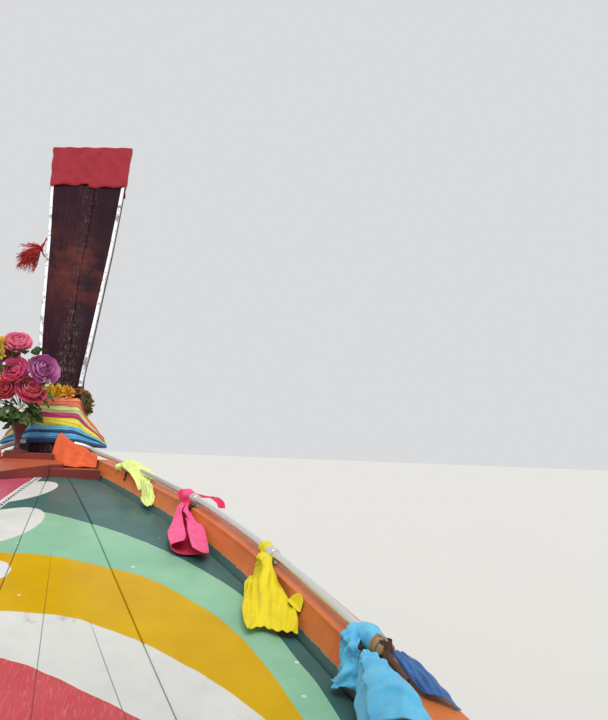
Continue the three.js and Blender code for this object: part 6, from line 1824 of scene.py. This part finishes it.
bright = ([pulley(0.505, 0, 0.090, 0.080), pulley(0.505, 0.175, 0.200, 0.032),
           pulley(0.505, 0, 0.230, 0.055)] + fan(0.528, 0, 0.230, 0.098))
bright += bolts([(x, y * 0.050, 0.362) for x in (0.09, 0.17, 0.25, 0.33, 0.41) for y in (-1, 1)], (0, 0, 1),
                0.006)
bright += bolts([(x, y * 0.132, z) for x in (0.06, 0.19, 0.32, 0.45) for y in (-1, 1) for z in (0.10,)],
                (0, 1, 0), 0.007)
bright += bolts([(0.019, 0.122 * math.cos(a), 0.09 + 0.122 * math.sin(a)) for a in np.arange(8) * TAU / 8],
                (-1, 0, 0.18), 0.007)
bright += [rod((x, 0.030, 0.382), (x, 0.030, 0.398), 0.008, sides=12) for x in (0.11, 0.21, 0.31, 0.41)]
bright += [tube(curve([(x, 0.030, 0.396), (x + 0.01, 0.075, 0.405), (x * 0.5 + 0.12, 0.128, 0.35),
                       (x * 0.3 + 0.17, 0.150, 0.262)], 24), 0.003, 8)
           for x in (0.11, 0.21, 0.31, 0.41)]
bright += [block(0.16, 0.31, 0.130, 0.166, 0.215, 0.262),
           rod((0.31, 0.148, 0.238), (0.345, 0.148, 0.238), 0.014),
           turned([(0, 0), (0.024, 0), (0.026, 0.003), (0.026, 0.013), (0.022, 0.016), (0, 0.016)],
                  (0.36, -0.02, 0.383), (0, 0, 1), 20)]
on_shaft("engine_steel_parts", bright, bright_steel, slot="engine_metal", bevel=0.001)

rubber = [belt(0.505, [(0, 0.090, 0.078), (0.175, 0.200, 0.031), (0, 0.230, 0.053)])]
rubber += [tube(curve([(0.22, 0.150, 0.31), (0.222, 0.15, 0.30), (0.222, 0.148, 0.285),
                       (0.225, 0.140, 0.275)], 12), 0.018, 16)]
rubber += [tube(curve([(0.455, -0.06, 0.33), (0.50, -0.075, 0.325), (0.515, -0.105, 0.27),
                       (0.47, -0.135, 0.20)], 24), 0.015, 14)]
rubber += [rod((x, y * 0.118, -0.030), (x, y * 0.118, 0.012), 0.024, 0.020) for x in (0.10, 0.40)
           for y in (-1, 1)]
on_shaft("engine_belt_and_hoses", rubber, black_rubber, slot="engine_metal", bevel=0.001)

can = [(0, 0), (0.052, 0), (0.058, 0.004), (0.060, 0.012), (0.060, 0.020), (0.0615, 0.022), (0.0615, 0.028),
       (0.060, 0.030), (0.060, 0.11),
       (0.0615, 0.112), (0.0615, 0.118), (0.060, 0.120), (0.058, 0.134), (0.050, 0.139), (0.014, 0.139),
       (0.012, 0.146), (0, 0.146)]
on_shaft("engine_air_filter",
         [turned(can, (0.148, 0.150, 0.330), (1, 0, 0), 40),
          rod((0.22, 0.15, 0.33), (0.22, 0.15, 0.268), 0.024),
                              rod((0.33, -0.145, 0.13), (0.33, -0.205, 0.13), 0.036),
                              rod((0.33, -0.205, 0.13), (0.33, -0.212, 0.13), 0.030)],
         filter_paint, slot="engine_metal", bevel=0.001)

hot = [tube(curve([(x, -0.100, 0.305), (x, -0.130, 0.306), (x, -0.160, 0.292), (x, -0.172, 0.270)], 16),
            0.018, 16) for x in (0.11, 0.21, 0.31, 0.41)]
hot += [block(x - 0.028, x + 0.028, -0.112, -0.102, 0.280, 0.330) for x in (0.11, 0.21, 0.31, 0.41)]
hot += [rod((0.080, -0.172, 0.270), (0.450, -0.172, 0.270), 0.026),
        tube(curve([(0.10, -0.172, 0.270), (0.085, -0.172, 0.295), (0.06, -0.172, 0.38)], 12), 0.026, 20),
        rod((0.090, -0.172, 0.28), (-0.020, -0.172, 0.640), 0.026, sides=28)]
can = [(0, 0), (0.028, 0), (0.030, 0.012), (0.046, 0.022), (0.048, 0.028), (0.048, 0.135), (0.046, 0.141),
       (0.030, 0.152), (0.028, 0.164), (0, 0.164)]
hot += [turned(can, (0.060, -0.172, 0.380), (-0.050, 0, 0.160), 36)]
on_shaft("engine_exhaust_pipes", hot, scale_iron, slot="engine_metal", bevel=0.001)

frame_bars = [block(-0.07, 0.47, y - 0.018, y + 0.018, -0.062, -0.030) for y in (-0.132, 0.132)]
frame_bars += [block(x - 0.018, x + 0.018, -0.150, 0.150, -0.060, -0.032)
               for x in (-0.052, 0.10, 0.25, 0.40, 0.452)]
frame_bars += [block(-0.060, 0.080, -0.145, 0.145, -0.040, 0.004),
               block(-0.045, 0.065, -0.120, 0.120, 0.0, 0.020)]
frame_bars += ([rod((0, y * 0.110, 0), (0, y * 0.1904, 0), 0.026, sides=36) for y in (-1, 1)]
               + [rod((0, y * 0.144, 0), (0, y * 0.158, 0), 0.046) for y in (-1, 1)])
on_shaft("engine_cradle", frame_bars, painted_iron, slot="engine_metal", bevel=0.002)

shaft = [rod((-0.3004, 0, 0), (-3.87, 0, 0), 0.030, sides=28),
         rod((-0.3004, 0, 0), (-0.318, 0, 0), 0.062, sides=36),
         rod((-0.31, 0, 0), (-0.42, 0, 0), 0.046, 0.040, 32)]
shaft += ([rod((-3.75, 0, 0), (-3.918, 0, 0), 0.040, sides=32)]
          + [rod((x, 0, 0), (x - 0.03, 0, 0), 0.038, sides=28) for x in (-1.0, -1.5, -2.48, -3.3, -3.6)])
shaft += [tube(curve([(-0.40, 0, 0.034), (-0.70, 0, 0.120), (-1.70, 0, 0.120), (-2.50, 0, 0.026)], 60),
               0.011, 14, up=(0, 1, 0))]
shaft += [rod((x - 0.015, 0, 0.01), (x - 0.015, 0, 0.12), 0.008, sides=14) for x in (-1.0, -1.5)]
fin = np.array([[(-3.56, y, -0.025), (-3.88, y, -0.025), (-3.92, y, -0.150), (-3.905, y, -0.198),
                 (-3.88, y, -0.210), (-3.845, y, -0.200)] for y in (-0.005, 0.005)])
shaft += [shell(fin, around=True, ends=True)]
shaft += bolts([(-0.3185, 0.053 * math.cos(a), 0.053 * math.sin(a)) for a in np.arange(6) * TAU / 6 + 0.5],
               (-1, 0, 0), 0.006)
shaft += [rod((x - 0.015, 0, 0.036), (x - 0.015, 0, 0.050), 0.006, sides=10) for x in (-2.48, -3.3, -3.6)]
on_shaft("shaft_tube_and_stay", shaft, painted_iron, slot="iron_paint", replaces=["shaft_tube"], bevel=0.001,
         angle=30)


def propeller():
    """Three cupped blades: a lens-shaped section whose width, pitch and thickness follow curves of the
    radius."""
    rows = curve([(0.025, 0.020, 62, 0.0055), (0.055, 0.046, 55, 0.005), (0.095, 0.066, 46, 0.004),
                  (0.135, 0.062, 38, 0.003),
                  (0.158, 0.040, 33, 0.0022), (0.167, 0.014, 30, 0.0012)], 22)
    r, chord, turn, deep = (rows[:, k:k + 1] for k in range(4))
    a = np.linspace(0, TAU, 20, endpoint=False)
    turn, c, t = np.radians(turn), chord * np.cos(a), deep * np.sin(a) + 0.12 * chord * np.cos(a) ** 2
    blade = np.stack([c * np.sin(turn) + t * np.cos(turn), c * np.cos(turn) - t * np.sin(turn),
                      np.broadcast_to(r, c.shape)], -1)
    hub = [(0, -0.075), (0.012, -0.0745), (0.022, -0.070), (0.030, -0.055), (0.034, -0.040), (0.038, 0.0),
           (0.0375, 0.03), (0.036, 0.052), (0.030, 0.056), (0.020, 0.0616), (0, 0.0616)]
    shapes = [turned(hub, (-3.98, 0, 0), (1, 0, 0), 40)]
    for k in range(3):
        spin = np.array([[1, 0, 0], [0, math.cos(k * TAU / 3), -math.sin(k * TAU / 3)],
                         [0, math.sin(k * TAU / 3), math.cos(k * TAU / 3)]])
        shapes.append(moved(shell(blade, around=True, ends=True), (-3.98, 0, 0), spin))
    return shapes


bronze = metal("cast_bronze", "#a9793f", rough=0.36, spots="#5d6b52", grain=0.003)
on_shaft("propeller_bronze", propeller(), bronze, "propeller", slot="bronze", replaces=["propeller"],
         angle=50)


def level(x, z, y=0.0):
    """A point level with the boat, seen from the tilted engine."""
    return (x * math.cos(LEAN) + z * math.sin(LEAN), y, -x * math.sin(LEAN) + z * math.cos(LEAN))


handle = [tube(curve([(0.400, 0, 0.455), level(0.56, 0.52), level(1.0, 0.34), level(1.62, 0.27)], 48), 0.017,
               18, up=(0, 1, 0)),
          rod((0.400, 0, 0.458), (0.400, 0, 0.3854), 0.024), block(0.365, 0.435, -0.03, 0.03, 0.3854, 0.395),
          tube(curve([level(1.30, 0.325), level(1.36, 0.35, 0.02), level(1.44, 0.34, 0.05)], 12), 0.005, 8),
          tube(curve([level(1.30, 0.322), level(1.0, 0.362), level(0.62, 0.50), (0.42, 0.02, 0.42)], 40),
               0.003, 8)]
handle += bolts([(0.400 + dx, dy, 0.395) for dx in (-0.026, 0.026) for dy in (-0.02, 0.02)], (0, 0, 1),
                0.005)
on_shaft("tiller_bar", handle, painted_iron, slot="iron_paint", replaces=["tiller"], bevel=0.001, angle=30)
ridges = 0.0215 + 0.0014 * np.cos(np.linspace(0, 24 * TAU, 193))
on_shaft("tiller_grip", [tube(line([level(1.50, 0.276), level(1.70, 0.268)], 193), ridges, 20, up=(0, 1, 0)),
                         rod(level(1.699, 0.268), level(1.708, 0.2676), 0.0235)], brown_grip,
                         slot="iron_paint", angle=60)

finished("engine_post", painted_iron, bevel=0.003)
finished("yoke", painted_iron, bevel=0.004, body="yoke")
STERN_SLOPE = math.atan2(0.703 - 0.540, 1.35)
DOWN_DECK = np.array([[math.cos(STERN_SLOPE), 0, math.sin(STERN_SLOPE)], [0, 1, 0],
                      [-math.sin(STERN_SLOPE), 0, math.cos(STERN_SLOPE)]])
plate = bolts([(dx, dy, 0.0164) for dx in (-0.105, 0.105) for dy in (-0.105, 0.105)], (0, 0, 1), 0.010)
piece("post_bolts", [moved(shape, (-5.6, 0, 0.6728), DOWN_DECK) for shape in plate], bright_steel,
      slot="iron_paint")
hubs = (bolts([(-5.6, side * 0.2195, 1.15) for side in (-1,)], (0, -1, 0), 0.020)
        + bolts([(-5.6, 0.2195, 1.15)], (0, 1, 0), 0.020))
piece("yoke_bolts", hubs, bright_steel, "yoke", slot="iron_paint")


def tank():
    """A moulded can: a superellipse |x/a|^6 + |y/b|^6 = 1 carried up, drawn in at foot and shoulder, with two
    ribs round it."""
    z = np.array([0.0004, 0.002, 0.010, 0.05, 0.060, 0.066, 0.074, 0.080, 0.145, 0.151, 0.159, 0.165, 0.20,
                  0.216, 0.226, 0.230])[:, None]
    grow = np.array([0.93, 0.965, 0.99, 1.0, 1.0, 0.972, 0.972, 1.0, 1.0, 0.972, 0.972, 1.0, 1.0, 0.985,
                     0.95, 0.90])[:, None]
    a = np.linspace(0, TAU, 72, endpoint=False)
    x = 0.150 * np.sign(np.cos(a)) * np.abs(np.cos(a)) ** (1 / 3)
    y = 0.110 * np.sign(np.sin(a)) * np.abs(np.sin(a)) ** (1 / 3)
    return [shell(np.stack(np.broadcast_arrays(x * grow, y * grow, z), -1), around=True, ends=True),
            tube(curve([(-0.062, -0.020, 0.224), (-0.056, -0.020, 0.252), (-0.040, -0.020, 0.266),
                        (0.040, -0.020, 0.266),
                        (0.056, -0.020, 0.252), (0.062, -0.020, 0.224)], 40), 0.010, 14, up=(0, 1, 0))]


teeth = 0.034 + 0.0012 * np.sign(np.sin(np.linspace(0, 28 * TAU, 112, endpoint=False)))
ring = np.stack([np.cos(np.linspace(0, TAU, 112, endpoint=False)),
                 np.sin(np.linspace(0, TAU, 112, endpoint=False))], 1)
cap_rows = [np.column_stack([0.06 + ring[:, 0] * teeth * k, 0.04 + ring[:, 1] * teeth * k, np.full(112, z)])
            for k, z in
            ((0.9, 0.228), (1.0, 0.230), (1.0, 0.250), (0.93, 0.255), (0.3, 0.256))]
on_deck = dict(move=(-4.8, 0.3, 0.5762), turn=DOWN_DECK)
piece("fuel_can", [moved(shape, **on_deck) for shape in tank()], red_plastic, slot="tank_plastic",
      replaces=["fuel_tank"], angle=40)
piece("fuel_can_cap", [moved(shell(np.stack(cap_rows), around=True, ends=True), **on_deck)], black_rubber,
      slot="tank_plastic", angle=40)


def waterline():
    """Where the planking meets z = 0: at each station the girth t solves 2bt + (1 - 2b)t^2 = the share of the
    height from keel to sheer that is below it, with b = 0.12 + 0.30 vee."""
    s = FINE[outside(FINE, 0.0)[:, 2] < -0.001]
    _, high, _, _, low, _, vee = np.moveaxis(station(s), -1, 0)
    b, wet = 0.12 + 0.30 * vee, -low / (high - low)
    return outside(s, (np.sqrt(b * b + (1 - 2 * b) * wet) - b) / (1 - 2 * b)) * [1, 0.99, 0]


FLOOR_HALF = 60


def pale_floor():
    """A plain pale floor at the waterline: a sheet from the hull's waterline out to a square, so that none
    lies inside the boat. Matt paint with a faint, wide unevenness in its gloss."""
    made, tree, shader = coat_of("matt_floor_paint", Base_Color="#dcdad5")
    cloud = add(tree, "TexNoise", add(tree, "TexCoord", out="Object"), Scale=0.5, Detail=3.0)
    put(tree, shader["Roughness"], add(tree, "MapRange", cloud, 0.3, 0.7, 0.75, 0.9))
    near = waterline()
    near = np.concatenate([near, near[::-1] * [1, -1, 1]])
    way = np.linspace(math.pi, -math.pi, len(near))
    far = FLOOR_HALF * np.stack([np.cos(way), np.sin(way), 0 * way],
                                1) / np.maximum(abs(np.cos(way)), abs(np.sin(way)))[:, None]
    points, faces, _ = shell(np.stack([near, 0.97 * near + 0.03 * far, far]), around=True)
    mesh = bpy.data.meshes.new("floor")
    mesh.from_pydata(points.tolist(), [], faces)
    mesh.materials.append(made)
    floor = bpy.data.objects.new("floor", mesh)
    bpy.context.scene.collection.objects.link(floor)


def studio_air(shade, strength):
    """Even, plain light from all round."""
    world = bpy.data.worlds.new("studio")
    world.use_nodes = True
    backdrop = world.node_tree.nodes["Background"].inputs
    backdrop["Color"].default_value = colour(shade)
    backdrop["Strength"].default_value = strength
    bpy.context.scene.world = world


pale_floor()
studio_air(shade="#fbfdff", strength=0.72)
bpy.context.scene.view_settings.view_transform = "Standard"
